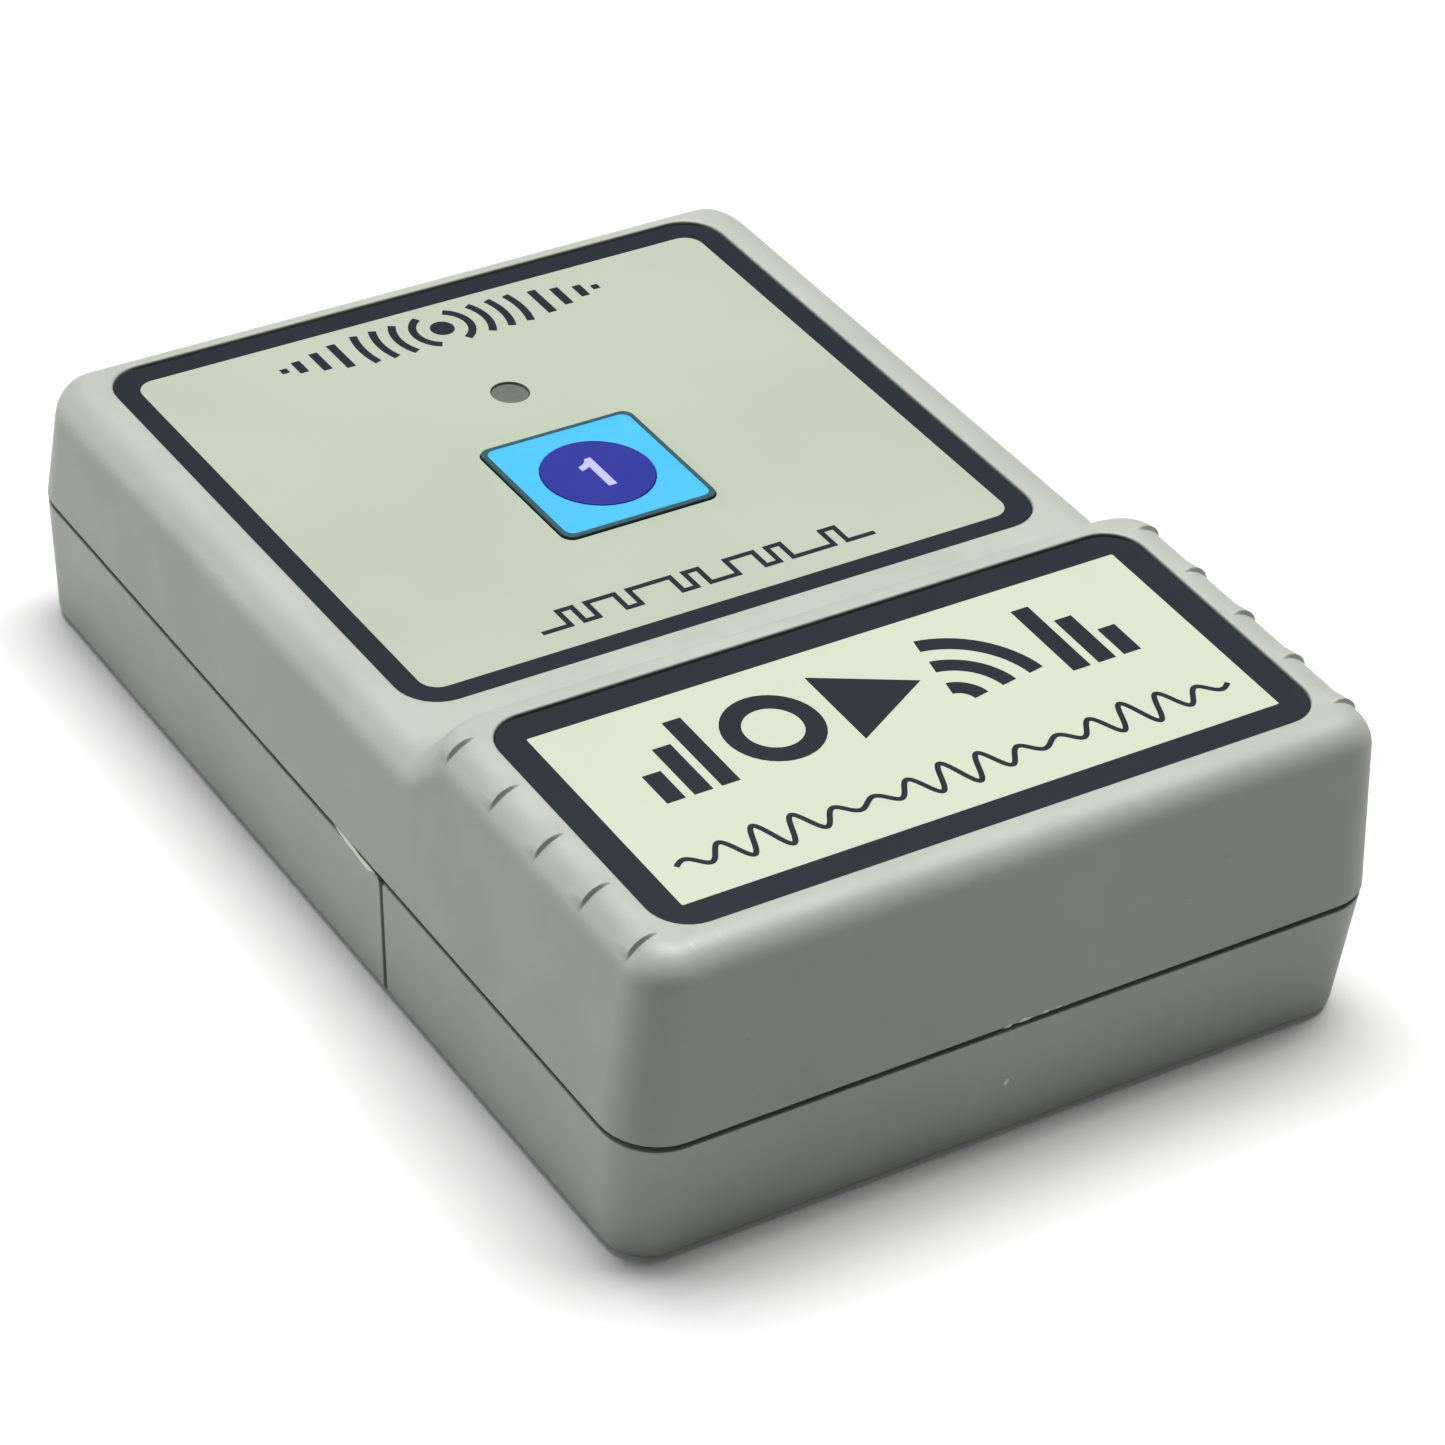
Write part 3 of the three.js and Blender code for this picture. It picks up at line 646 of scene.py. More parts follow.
def film(size, z):
    """A label's film, a little smaller than its recess, from height z[0] to z[1]."""
    return plate(lambda grow: rectangle(*size, grow=grow - LABEL_GAP), *z, FILM_EDGE)


def border(size, band_size, z):
    """A printed band round a label, over its rounded edge and a little way down its side."""
    half_x, y0, y1, _ = size
    width, inner_radius = band_size
    grow, foot = BAND_PROUD - LABEL_GAP, z - BAND_REACH
    loops = [at_height(rectangle(*size, grow=grow), foot)]
    for pull, drop in round_edge(BAND_EDGE):
        loops.append(at_height(rectangle(*size, grow=grow - pull), z + INK - drop))
    inside = rectangle(half_x - width, y0 + width, y1 - width, inner_radius)
    loops += [at_height(inside, z + INK), at_height(inside, foot)]
    return ring_loft(loops)


def slab(points, z, thickness=INK):
    """A flat printed patch from a plan outline."""
    return closed_loft([at_height(points, z), at_height(points, z + thickness)])


def stroke(points, width, z, closed=False):
    """A printed line of even width along plan points."""
    points = np.asarray(points, float)
    if closed:
        ahead, behind = np.roll(points, -1, 0), np.roll(points, 1, 0)
    else:
        ahead = np.vstack([points[1:], 2 * points[-1] - points[-2]])
        behind = np.vstack([2 * points[0] - points[1], points[:-1]])
    run_in, run_out = points - behind, ahead - points
    run_in /= np.linalg.norm(run_in, axis=1)[:, None]
    run_out /= np.linalg.norm(run_out, axis=1)[:, None]
    across = (run_in + run_out)[:, ::-1] * [-1, 1]
    across /= np.linalg.norm(across, axis=1)[:, None]
    turned = np.sum(across * (run_in[:, ::-1] * [-1, 1]), axis=1)
    reach = width / 2 / np.maximum(0.5, turned)
    left, right = points + across * reach[:, None], points - across * reach[:, None]
    top = z + INK
    if closed:
        edges = ((right, z), (right, top), (left, top), (left, z))
        return ring_loft([at_height(edge, level) for edge, level in edges])
    sections = [
        np.array([[*r, z], [*l, z], [*l, top], [*r, top]]) for l, r in zip(left, right)
    ]
    return closed_loft(sections)


def arc(x, y, radius, start, end, steps=16):
    """Plan points along an arc, angles in degrees."""
    angles = np.radians(np.linspace(start, end, steps + 1))
    return np.column_stack([x + radius * np.cos(angles), y + radius * np.sin(angles)])


def bar(x0, x1, y0, y1, z):
    """A printed rectangle."""
    return slab([(x0, y0), (x1, y0), (x1, y1), (x0, y1)], z)


def pulse_train(x0, x1, y, height, width, z):
    """A square-wave line with pulses of uneven length."""
    lengths = [2, 1, 1, 2, 1, 3, 1, 1, 2, 2, 1, 1, 3, 1, 2]
    unit = (x1 - x0) / sum(lengths)
    points, x, high = [(x0, y - height / 2)], x0, False
    for length in lengths:
        x += length * unit
        level = y + (height / 2 if high else -height / 2)
        points.append((x, level))
        if x < x1 - unit / 2:
            points.append((x, 2 * y - level))
        high = not high
    return stroke(points, width, z)


def wave_line(x0, x1, y, height, width, z):
    """A fine wave whose size swells and fades along its length."""
    waves, swells, least = 15, 3, 0.28
    x = np.linspace(x0, x1, 420)
    along = (x - x0) / (x1 - x0)
    swell = least + (1 - least) * np.sin(math.pi * swells * along) ** 2
    wave = height / 2 * swell * np.sin(2 * math.pi * waves * along)
    return stroke(np.column_stack([x, y + wave]), width, z)


def main_print(z):
    """Radio waves at the thin end and a pulse train by the step."""
    parts = []
    centre_y = 42.9
    for side, middle in ((-1, 180), (1, 0)):
        for n in range(4):
            radius = 2.3 + 1.55 * n
            spread = math.degrees(math.asin(min(1, 2.0 / radius)))
            ripple = arc(0, centre_y, radius, middle - spread, middle + spread)
            parts.append(stroke(ripple, 0.62, z))
        for n in range(3):
            x = side * (8.8 + 1.75 * n)
            tall = 1.7 - 0.45 * n
            parts.append(bar(x - 0.36, x + 0.36, centre_y - tall, centre_y + tall, z))
        ends = sorted([side * 13.3, side * 13.9])
        parts.append(bar(*ends, centre_y - 0.3, centre_y + 0.3, z))
    parts.append(slab(circle(0, centre_y, 0.95), z))
    parts.append(pulse_train(-14, 14, 5.3, 1.9, 0.42, z))
    return merged(parts)


def name_print(z):
    """Bold bars, a ring, an arrow and ripples over a fine wave line."""
    y0, y1 = -27.6, -19.9
    middle, tall = (y0 + y1) / 2, y1 - y0
    parts = []
    for n in range(3):
        x = -19.4 + 2.15 * n
        parts.append(bar(x, x + 1.45, y0, y0 + tall * (0.42 + 0.29 * n), z))
        x = 13.6 + 2.15 * n
        parts.append(bar(x, x + 1.45, y0, y0 + tall * (1 - 0.29 * n), z))
    parts.append(stroke(arc(-8.6, middle, 2.95, 0, 360, 40)[:-1], 1.5, z, closed=True))
    parts.append(slab([(-3.6, y0), (3.4, middle), (-3.6, y1)], z))
    for radius in (1.9, 4.5, 7.0):
        parts.append(stroke(arc(4.4, y0 + 0.3, radius, 8, 82), 1.25, z))
    parts.append(wave_line(-22.4, 22.4, -33.6, 2.9, 0.4, z))
    return merged(parts)


def rating_print():
    """A thin frame and blank ruled lines on the underside label."""
    half_x, y0, y1, radius = RATING_RECESS
    face = RATING_FILM[0]
    margin, line_half, line_end = RATING_MARGIN, 0.1, half_x - 2.8
    frame_line = rectangle(half_x - margin, y0 + margin, y1 - margin, radius)
    parts = [stroke(frame_line, 0.3, face, closed=True)]
    for n in range(4):
        y = y0 + 5.0 + 4.6 * n
        parts.append(bar(-line_end, line_end, y - line_half, y + line_half, face))
    points, faces = merged(parts)
    points[:, 2] = 2 * face - points[:, 2]
    return points, faces


# ------------------------------------------------------------------ key and window

def key_square(half, z, radius=KEY_RADIUS):
    return at_height(rectangle(half, KEY_Y - half, KEY_Y + half, radius), z)


def key_cap():
    """The key, with a flange under the roof and a shallow seat for its pad."""
    flange, flange_radius = KEY_FLANGE
    bottom, top = KEY_FLANGE_Z
    loops = [key_square(flange, bottom, flange_radius), key_square(flange, top, flange_radius)]
    loops.append(key_square(KEY_HALF, top))
    for pull, drop in round_edge(0.16):
        loops.append(key_square(KEY_HALF - pull, KEY_TOP - drop, KEY_RADIUS - pull))
    for radius, depth in PAD_SEAT:
        loops.append(at_height(circle(0, KEY_Y, radius), KEY_TOP - depth))
    return closed_loft(loops)


def key_outline():
    """A dark rim round the key's top edge, narrowing the gap to the label."""
    top, foot = KEY_TOP + INK, KEY_TOP - KEY_RIM_DEPTH
    loops = [key_square(KEY_RIM, foot)]
    for pull, drop in round_edge(0.1):
        loops.append(key_square(KEY_RIM - pull, top - drop, KEY_RADIUS - pull))
    inside = KEY_HALF - KEY_RIM_OVERLAP
    loops += [key_square(inside, top, 0.75), key_square(inside, foot, 0.75)]
    return ring_loft(loops)


def key_disc():
    low, high = PAD_Z
    return plate(lambda g: circle(0, KEY_Y, PAD_RADIUS + g), KEY_TOP + low, KEY_TOP + high, 0.06)


def digit_one(z):
    """The key's number."""
    corners = [
        (0.5, -1.95), (0.5, 1.95), (-0.02, 1.95), (-0.22, 1.6), (-0.55, 1.34), (-0.98, 1.18),
        (-0.98, 0.58), (-0.6, 0.68), (-0.22, 0.88), (-0.22, -1.95),
    ]
    return slab([(x, KEY_Y + y) for x, y in corners], z, DIGIT_INK)


def window_lens():
    """A small, nearly flush domed lens with a flange under the roof."""
    flange, radius, shoulder = WINDOW_RADIUS + 0.8, WINDOW_HOLE - 0.05, MAIN_FILM[1] - 0.2
    bottom, top = WINDOW_FLANGE_Z
    profile = [(flange, bottom), (flange, top), (radius, top), (radius, shoulder)]
    for k in range(1, 7):
        angle = math.pi / 2 * k / 7
        profile.append((radius * math.cos(angle), shoulder + 0.16 * math.sin(angle)))
    return closed_loft([at_height(circle(0, WINDOW_Y, r), z) for r, z in profile])


# ------------------------------------------------------------------ moulding marks

def flake(points, deep, proud, side=False):
    """A raised flake on a wall: its outline is (x, z) on the front, (y, z) on the left side."""
    points = np.array(points, float)
    middle = points.mean(0)
    crown = middle + 0.5 * (points - middle)
    loops = []
    for edge, out in ((points, deep), (points, proud - 0.07), (crown, proud)):
        level = np.full(len(edge), -out)
        columns = [level, edge[:, 0]] if side else [edge[:, 0], level]
        loops.append(np.column_stack(columns + [edge[:, 1]]))
    return closed_loft(loops)


def side_burr():
    """A sliver left along the parting line, just behind the cover's seam."""
    sliver = [
        (-3.7, 10.8), (-5.2, 10.45), (-6.4, 10.36), (-7.6, 10.24), (-8.4, 10.14), (-9.0, 10.3),
        (-9.7, 10.55), (-8.9, 10.66), (-7.4, 10.68), (-6.4, 10.86), (-4.6, 10.9),
    ]
    return flake(sliver, 30.6, 30.985, side=True)


def front_chips():
    """Small chips on the upper half's front lip."""
    chips = [
        [(-1.9, 10.9), (-1.2, 10.88), (-0.95, 11.0), (-1.15, 11.12), (-1.5, 11.03)],
        [(-0.5, 10.92), (0.5, 10.94), (1.0, 11.08), (0.4, 11.12), (0.0, 11.22), (-0.35, 11.1)],
        [(1.2, 10.98), (2.0, 10.98), (2.15, 11.12), (1.75, 11.22), (1.5, 11.1)],
        [(2.5, 11.02), (3.1, 11.04), (3.0, 11.18), (2.7, 11.16)],
    ]
    return merged([flake(chip, 43.6, 43.85) for chip in chips])


def cover_fleck():
    """A pale fleck on the front of the cover: whitened plastic, painted lighter as a highlight."""
    fleck = [(-0.78, 5.25), (-0.5, 5.15), (-0.25, 5.4), (-0.38, 5.75), (-0.62, 5.65)]
    return flake(fleck, 43.2, 43.42)


# ------------------------------------------------------------------ inside pieces

def screw(name, x, y):
    """A pan-head case screw, head down, with a cross recess."""
    rim, tip = HEAD_RADIUS, HEAD_HEIGHT + SHANK_LENGTH
    profile = [(rim - 0.45, 0.0), (rim - 0.12, 0.14), (rim, 0.5), (rim, HEAD_HEIGHT)]
    profile += [(SHANK_RADIUS, HEAD_HEIGHT)]
    root, crest = SHANK_RADIUS - 0.14, SHANK_RADIUS + 0.12
    for n in range(int(SHANK_LENGTH / THREAD_PITCH)):
        level = HEAD_HEIGHT + 0.3 + n * THREAD_PITCH
        if level > tip - 1.2:
            break
        profile += [(root, level), (crest, level + 0.2), (root, level + 0.4)]
    profile += [(SHANK_RADIUS - 0.2, tip - 0.9), (0.08, tip)]
    loops = [at_height(circle(x, y, radius, 5), HEAD_Z + h) for radius, h in profile]
    made = make(name, *closed_loft(loops))
    low, high = HEAD_Z - 1, HEAD_Z + SLOT_DEPTH
    slot = SLOT_HALF_LENGTH, SLOT_HALF_WIDTH
    for half_x, half_y in (slot, slot[::-1]):
        sides = (x - half_x, x + half_x, y - half_y, y + half_y)
        boolean(made, "DIFFERENCE", block(*sides, low, high))
    return made


def foam_pad():
    """A strip of foam with soft, slightly crowned faces."""
    half_x, front, rear, radius, middle_x = 17, -33, -22, 1.0, -3
    lower_edge = [(-0.5, 21.2), (-0.16, 21.32), (0, 21.65)]
    upper_edge = [(0, 22.45), (-0.16, 22.78), (-0.5, 22.9)]
    loops = []
    for grow, z in [*lower_edge, (-0.05, 22.05), *upper_edge]:
        plan = rectangle(half_x, front, rear, radius, grow) + [middle_x, 0]
        loops.append(at_height(plan, z))
    return closed_loft(loops)


# ------------------------------------------------------------------ materials

class Tree:
    """A material's nodes, with short ways to add them."""

    def __init__(self, name, color, roughness, metallic=0.0):
        self.material = bpy.data.materials.new(name)
        self.material.use_nodes = True
        self.nodes = self.material.node_tree.nodes
        self.links = self.material.node_tree.links
        self.shader = self.nodes["Principled BSDF"]
        self.put(self.shader, "Base Color", (*color, 1))
        self.put(self.shader, "Roughness", roughness)
        self.put(self.shader, "Metallic", metallic)
        self.place = self.add("ShaderNodeTexCoord").outputs["Object"]

    def put(self, node, name, value):
        """Sets a socket to a number or a colour, or links it to an output."""
        if isinstance(value, bpy.types.NodeSocket):
            self.links.new(value, node.inputs[name])
        else:
            node.inputs[name].default_value = value

    def add(self, kind, inputs=(), **settings):
        node = self.nodes.new(kind)
        for name, value in settings.items():
            setattr(node, name, value)
        for name, value in dict(inputs).items():
            self.put(node, name, value)
        return node

    def stretched(self, scale, turn=(0, 0, 0)):
        inputs = {"Vector": self.place, "Scale": scale, "Rotation": turn}
        return self.add("ShaderNodeMapping", inputs).outputs["Vector"]

    def noise(self, size, detail=2.0, roughness=0.5, vector=None):
        """Noise with features of about `size` metres."""
        inputs = {"Vector": vector or self.place, "Scale": 1 / size}
        inputs.update({"Detail": detail, "Roughness": roughness})
        return self.add("ShaderNodeTexNoise", inputs).outputs["Fac"]

    def spots(self, size, reach):
        """1 at the middle of scattered spots, 0 away from them."""
        cells = self.add("ShaderNodeTexVoronoi", {"Vector": self.place, "Scale": 1 / size})
        return self.fit(cells.outputs["Distance"], reach, 0.0, 0.0, 1.0)

    def fit(self, value, low, high, to_low, to_high):
        """A value carried from one range to another, and held inside it."""
        inputs = {"Value": value, "From Min": low, "From Max": high}
        inputs.update({"To Min": to_low, "To Max": to_high})
        return self.add("ShaderNodeMapRange", inputs).outputs["Result"]

    def combined(self, a, b, operation="MULTIPLY"):
        node = self.add("ShaderNodeMath", {0: a, 1: b}, operation=operation)
        return node.outputs["Value"]

    def blend(self, share, a, b):
        """Colour a where share is 0, b where it is 1."""
        ends = [v if isinstance(v, bpy.types.NodeSocket) else (*v, 1) for v in (a, b)]
        inputs = {0: share, 6: ends[0], 7: ends[1]}
        return self.add("ShaderNodeMix", inputs, data_type="RGBA").outputs[2]

    def bump(self, height, depth, normal=None):
        inputs = {"Height": height, "Distance": depth, "Strength": 1.0}
        if normal is not None:
            inputs["Normal"] = normal
        return self.add("ShaderNodeBump", inputs).outputs["Normal"]

    def edges(self, radius):
        """(rounded normal, 1 along sharp convex or concave edges)."""
        rounded = self.add("ShaderNodeBevel", {"Radius": radius}, samples=6).outputs["Normal"]
        flat = self.add("ShaderNodeNewGeometry").outputs["Normal"]
        both = {0: rounded, 1: flat}
        node = self.add("ShaderNodeVectorMath", both, operation="DOT_PRODUCT")
        return rounded, self.fit(node.outputs["Value"], 0.995, 0.82, 0.0, 1.0)


def scaled(color, factor):
    return tuple(min(1.0, c * factor) for c in color)


def plastic(name, color, roughness, grain=0.00024, depth=0.000010, blotch=0.03, wear=0.3,
            specks=0.0, shine=0.5):
    """Moulded plastic: fine grain, slight colour drift, rubbed edges, specks and scuffs."""
    edge_radius, scuffs = 0.00016, 0.25
    t = Tree(name, color, roughness)
    t.put(t.shader, "Specular IOR Level", shine)
    rounded, edge = t.edges(edge_radius)
    drift = t.fit(t.noise(0.013, 3), 0.35, 0.65, 0.0, 1.0)
    base = t.blend(drift, scaled(color, 1 - blotch), scaled(color, 1 + blotch))
    rubbed = t.combined(edge, t.fit(t.noise(0.0016, 3), 0.4, 0.62, 0.15 * wear, wear))
    base = t.blend(rubbed, base, scaled(color, 1.22))
    if specks:
        some = t.fit(t.noise(0.009, 1), 0.5, 0.56, 0.0, specks)
        fleck = t.combined(t.spots(0.0042, 0.035), some)
        base = t.blend(fleck, base, scaled(color, 0.35))
    t.put(t.shader, "Base Color", base)
    lines = t.stretched((1, 0.05, 1), (0.2, 0.1, 0.5))
    scuff = t.fit(t.noise(0.0004, 2, 0.6, lines), 0.62, 0.72, 0.0, scuffs)
    patch = t.combined(scuff, t.fit(t.noise(0.012, 2), 0.5, 0.7, 0.0, 1.0))
    rough = t.fit(t.noise(0.0035, 3), 0.3, 0.7, roughness - 0.05, roughness + 0.05)
    t.put(t.shader, "Roughness", t.combined(rough, t.combined(patch, 0.5), "SUBTRACT"))
    texture = t.noise(grain, 3, 0.62)
    t.put(t.shader, "Normal", t.bump(texture, depth, rounded))
    return t.material


def printed(name, color, roughness=0.55, shine=0.35):
    """Label film or ink: a very fine matt texture, faint dust and finger marks."""
    t = Tree(name, color, roughness)
    t.put(t.shader, "Specular IOR Level", shine)
    drift = t.fit(t.noise(0.02, 2), 0.35, 0.65, 0.0, 1.0)
    tints = scaled(color, 0.985), scaled(color, 1.015)
    t.put(t.shader, "Base Color", t.blend(drift, *tints))
    marks = t.fit(t.noise(0.006, 3), 0.35, 0.65, roughness - 0.015, roughness + 0.015)
    t.put(t.shader, "Roughness", marks)
    waves = t.bump(t.noise(0.006, 1), 0.000008)
    t.put(t.shader, "Normal", t.bump(t.noise(0.00012, 2), 0.0000035, waves))
    return t.material


def metal(name, color, roughness, brushed=(1, 1, 1), tarnish=0.12):
    """Bare metal with a drawn or turned grain and a little tarnish."""
    t = Tree(name, color, roughness, 1.0)
    rounded, _ = t.edges(0.00012)
    cloud = t.fit(t.noise(0.002, 3), 0.4, 0.7, 0.0, tarnish)
    t.put(t.shader, "Base Color", t.blend(cloud, color, scaled(color, 0.55)))
    lines = t.noise(0.00009, 2, 0.6, t.stretched(brushed))
    t.put(t.shader, "Roughness", t.fit(lines, 0.3, 0.7, roughness - 0.08, roughness + 0.12))
    t.put(t.shader, "Normal", t.bump(lines, 0.000004, rounded))
    return t.material


def shade_painted_lens():
    """The indicator's window, painted dark as the shade in its hollow."""
    t = Tree("lens with painted shade", (0.12, 0.14, 0.12), 0.4)
    t.put(t.shader, "Specular IOR Level", 0.25)
    cloud = t.noise(0.0008, 2)
    # The dark grey-green base colour is painted shade, standing for the shade in the window's
    # hollow.
    t.put(t.shader, "Base Color", t.blend(cloud, (0.13, 0.155, 0.13), (0.175, 0.2, 0.17)))
    t.put(t.shader, "Roughness", t.fit(t.noise(0.0005, 3), 0.4, 0.7, 0.35, 0.5))
    t.put(t.shader, "Normal", t.bump(t.noise(0.0004, 2), 0.000004))
    return t.material


def led_lens():
    t = Tree("red diode", (0.5, 0.03, 0.02), 0.1)
    t.put(t.shader, "Transmission Weight", 0.4)
    reds = (0.55, 0.04, 0.02), (0.38, 0.015, 0.01)
    t.put(t.shader, "Base Color", t.blend(t.noise(0.0006, 2), *reds))
    t.put(t.shader, "Normal", t.bump(t.noise(0.0004, 2), 0.000003))
    return t.material


def board_look():
    """Green solder mask with copper tracks showing through."""
    green, track = (0.012, 0.11, 0.045), (0.03, 0.2, 0.075)
    t = Tree("solder mask", green, 0.3)
    inputs = {"Vector": t.place, "Scale": 260.0, "Mortar Size": 0.06}
    cells = t.add("ShaderNodeTexBrick", inputs)
    lines = cells.outputs["Fac"]
    t.put(t.shader, "Base Color", t.blend(lines, green, track))
    fine = t.noise(0.0003, 3)
    t.put(t.shader, "Roughness", t.fit(fine, 0.3, 0.7, 0.24, 0.38))
    t.put(t.shader, "Normal", t.bump(lines, 0.00002, t.bump(fine, 0.000004)))
    return t.material


def foam_look():
    t = Tree("open foam", (0.07, 0.07, 0.075), 0.95)
    cell_size = 0.0007
    cells = t.add("ShaderNodeTexVoronoi", {"Vector": t.place, "Scale": 1 / cell_size})
    depth = cells.outputs["Distance"]
    # The pits are painted darker than the cell walls: painted shade in the foam's open cells.
    t.put(t.shader, "Base Color", t.blend(depth, (0.02, 0.02, 0.022), (0.1, 0.1, 0.105)))
    t.put(t.shader, "Normal", t.bump(depth, 0.0002))
    return t.material


def floor_look():
    """Pale paper, lit a little from within so that it stays near white."""
    t = Tree("paper sweep", (0.7, 0.7, 0.7), 0.9)
    greys = (0.66, 0.66, 0.67), (0.67, 0.67, 0.68)
    t.put(t.shader, "Base Color", t.blend(t.noise(0.05, 2), *greys))
    t.put(t.shader, "Specular IOR Level", 0.1)
    t.put(t.shader, "Emission Color", (1, 1, 1, 1))
    t.put(t.shader, "Emission Strength", 0.06)
    return t.material


# ------------------------------------------------------------------ build

INK_COLOR = (0.031, 0.038, 0.049)
INK_FINISH = (0.5, 0.25)


def build_case():
    grey = plastic("grey case plastic", (0.386, 0.405, 0.372), 0.5, specks=0.5)
    upper = make_upper()
    lower, cover = make_lower()
    ready(upper, "case", grey, "top_shell")
    ready(lower, "case", grey, "bottom_shell")
    ready(cover, "cover", grey, "battery_cover")
    # Burr, chips and fleck: whitened plastic, painted lighter still as a painted highlight on
    # their facets.
    whitened_and_highlit = plastic("whitened plastic with painted highlight", (0.72, 0.72, 0.62), 0.45, wear=0.1)
    mark("side_burr", side_burr(), "case", whitened_and_highlit)
    mark("front_chips", front_chips(), "case", whitened_and_highlit)
    mark("cover_fleck", cover_fleck(), "cover", whitened_and_highlit)


def build_labels():
    main = make("main_film", *on_deck(film(MAIN_RECESS, MAIN_FILM)))
    boolean(main, "DIFFERENCE", openings())
    pale = printed("main label film", (0.374, 0.42, 0.353))
    ready(main, "case", pale, "main_label")
    name = make("name_film", *film(NAME_RECESS, NAME_FILM))
    bright = printed("name label film", (0.465, 0.505, 0.415))
    ready(name, "case", bright, "name_label")
    rating = make("rating_film", *film(RATING_RECESS, RATING_FILM))
    blank = printed("rating label film", (0.5, 0.51, 0.5))
    ready(rating, "case", blank, "rating_label")
    ink = printed("blue black ink", INK_COLOR, *INK_FINISH)
    main_face, name_face = MAIN_FILM[1], NAME_FILM[1]
    mark("main_border", on_deck(border(MAIN_RECESS, MAIN_BAND, main_face)), "case", ink)
    mark("main_print", on_deck(main_print(main_face)), "case", ink)
    mark("name_border", border(NAME_RECESS, NAME_BAND, name_face), "case", ink)
    mark("name_print", name_print(name_face), "case", ink)
    mark("rating_print", rating_print(), "case", ink)


def build_key():
    cyan = plastic("cyan key plastic", (0.09, 0.415, 0.8), 0.4, wear=0.1, blotch=0.012)
    indigo_color = (0.045, 0.055, 0.27)
    indigo = plastic("indigo pad", indigo_color, 0.5, wear=0.05, blotch=0.02, shine=0.2)
    ready(make("key_top", *on_deck(key_cap())), "key", cyan, "key_cap")
    ready(make("key_pad", *on_deck(key_disc())), "key", indigo, "key_disc")
    lavender = printed("pale lavender ink", (0.4, 0.4, 0.68))
    digit = on_deck(digit_one(KEY_TOP + PAD_Z[1]))
    mark("key_digit", digit, "key", lavender, rounded=False)
    teal = printed("dark teal ink", (0.05, 0.105, 0.12))
    mark("key_outline", on_deck(key_outline()), "key", teal, rounded=False)
    lens = make("indicator_lens", *on_deck(window_lens()))
    ready(lens, "case", shade_painted_lens(), "led_window")


def build_inside():
    """Looks for the CAD nodes that stay, the case screws and the foam pad."""
    steel = metal("plated steel", (0.6, 0.6, 0.6), 0.3, (1, 1, 6))
    black = plastic("black plastic", (0.02, 0.02, 0.022), 0.45, wear=0.2)
    end_black = plastic("battery end plastic", (0.02, 0.02, 0.022), 0.6)
    sleeve = plastic("capacitor sleeve", (0.03, 0.04, 0.09), 0.35, wear=0.1)
    rubber = plastic("soft black vinyl", (0.015, 0.015, 0.016), 0.6, depth=0.00002)
    red = plastic("red lead", (0.42, 0.02, 0.02), 0.4)
    wrap = plastic("battery jacket paint", (0.03, 0.05, 0.11), 0.32, grain=0.0006, wear=0.7)
    copper = metal("copper wire", (0.72, 0.33, 0.16), 0.28, tarnish=0.3)
    kept = [
        (steel, "resonator_can crystal terminal_positive terminal_negative"),
        (steel, "board_screw_1 board_screw_2"),
        (black, "tact_switch switch_plunger encoder_chip"),
        (led_lens(), "led"),
        (sleeve, "capacitor"),
        (copper, "antenna_coil"),
        (wrap, "battery_jacket"),
        (end_black, "battery_core"),
        (rubber, "snap_connector lead_black"),
        (red, "lead_red"),
        (board_look(), "circuit_board"),
    ]
    for look, nodes in kept:
        for node in nodes.split():
            dress(NODES[node], look)
    for number, (x, y) in enumerate(CASE_SCREWS, 1):
        made = screw(f"cross_screw_{number}", x, y)
        ready(made, "case", steel, f"case_screw_{number}")
    pad = make("foam_strip", *foam_pad())
    ready(pad, "case", foam_look(), "battery_pad")


# ------------------------------------------------------------------ camera, floor and light

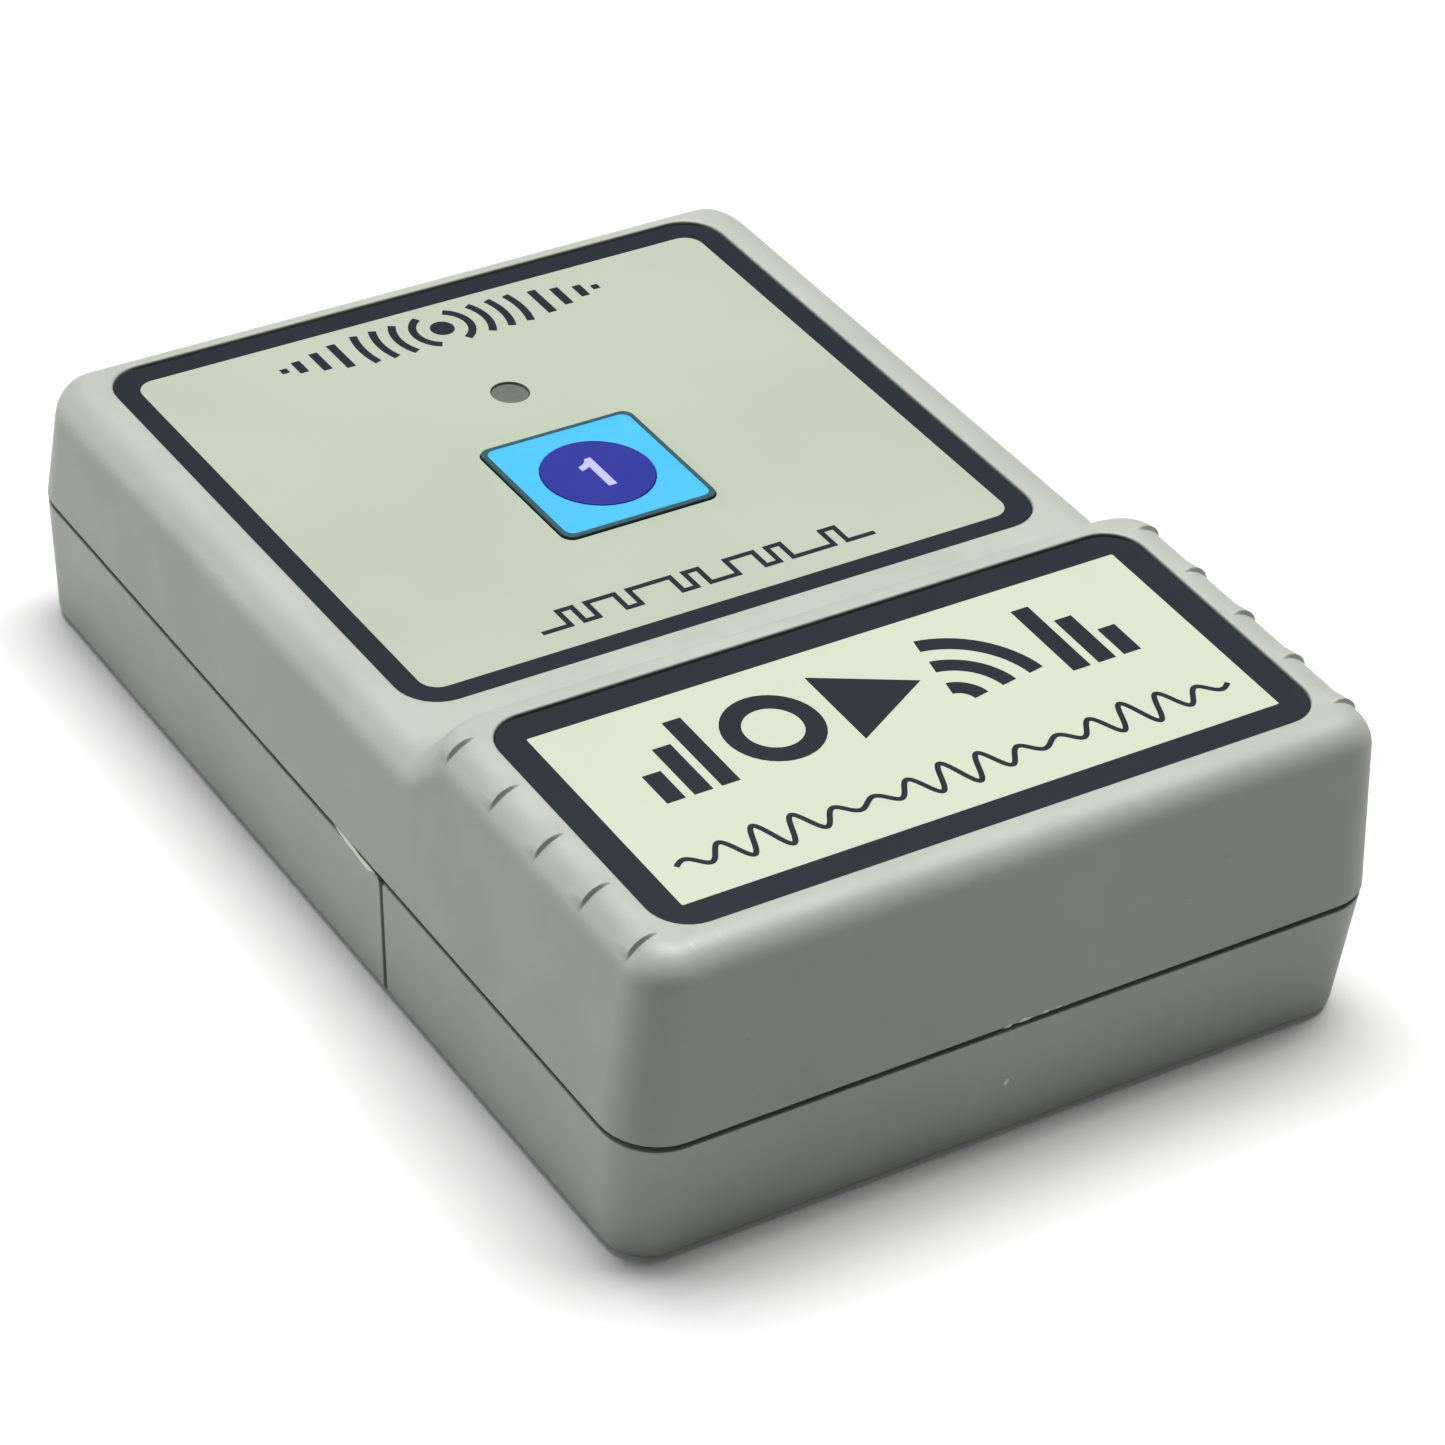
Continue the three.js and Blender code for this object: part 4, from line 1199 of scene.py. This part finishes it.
# Worked out from the photograph: place in millimetres, view direction, roll, lens.
CAMERA_PLACE = Vector((-178.87, -259.42, 241.76)) * MM
CAMERA_AIM = Vector((0.46191, 0.65556, -0.59740))
CAMERA_ROLL = math.radians(5.03)
CAMERA_LENS = 133.78
SENSOR_WIDTH = 36
CLIP_NEAR, CLIP_FAR = 0.01, 20

# Each lamp: name, place and size in metres, power, colour.
LAMPS = [
    ("overhead", (0.12, 0.17, 1.05), (1.0, 0.5), 14.2, (1.0, 0.99, 0.975)),
    ("left", (-0.62, 0.60, 0.16), (0.4, 0.25), 1.45, (0.93, 0.98, 1.0)),
]
LAMP_AIM = (0, 0, 0.01)
FLOOR_HALF = 3000
SKY_STRENGTH = 0.06


def set_camera():
    camera = bpy.data.objects.new("camera", bpy.data.cameras.new("camera"))
    camera.data.lens = CAMERA_LENS
    camera.data.sensor_width = SENSOR_WIDTH
    camera.data.clip_start = CLIP_NEAR
    camera.data.clip_end = CLIP_FAR
    aim = CAMERA_AIM.to_track_quat("-Z", "Y").to_matrix()
    turn = aim @ Matrix.Rotation(CAMERA_ROLL, 3, "Z")
    camera.matrix_world = Matrix.Translation(CAMERA_PLACE) @ turn.to_4x4()
    scene.collection.objects.link(camera)
    scene.camera = camera


def area_light(name, place, size, power, color):
    lamp = bpy.data.lights.new(name, "AREA")
    lamp.shape = "RECTANGLE"
    lamp.size, lamp.size_y = size
    lamp.energy = power
    lamp.color = color
    holder = bpy.data.objects.new(name, lamp)
    holder.location = place
    toward = Vector(LAMP_AIM) - Vector(place)
    holder.rotation_euler = toward.to_track_quat("-Z", "Y").to_euler()
    scene.collection.objects.link(holder)


def set_stage():
    half = FLOOR_HALF
    corners = [(-half, -half, 0), (half, -half, 0), (half, half, 0), (-half, half, 0)]
    floor = make("floor", corners, [[0, 1, 2, 3]])
    dress(floor, floor_look())
    for lamp in LAMPS:
        area_light(*lamp)
    world = bpy.data.worlds.new("studio")
    world.use_nodes = True
    sky = world.node_tree.nodes["Background"].inputs
    sky["Color"].default_value = (1, 1, 1, 1)
    sky["Strength"].default_value = SKY_STRENGTH
    scene.world = world
    scene.view_settings.view_transform = "Standard"
    scene.view_settings.look = "High Contrast"


set_camera()
build_case()
build_labels()
build_key()
build_inside()
set_stage()
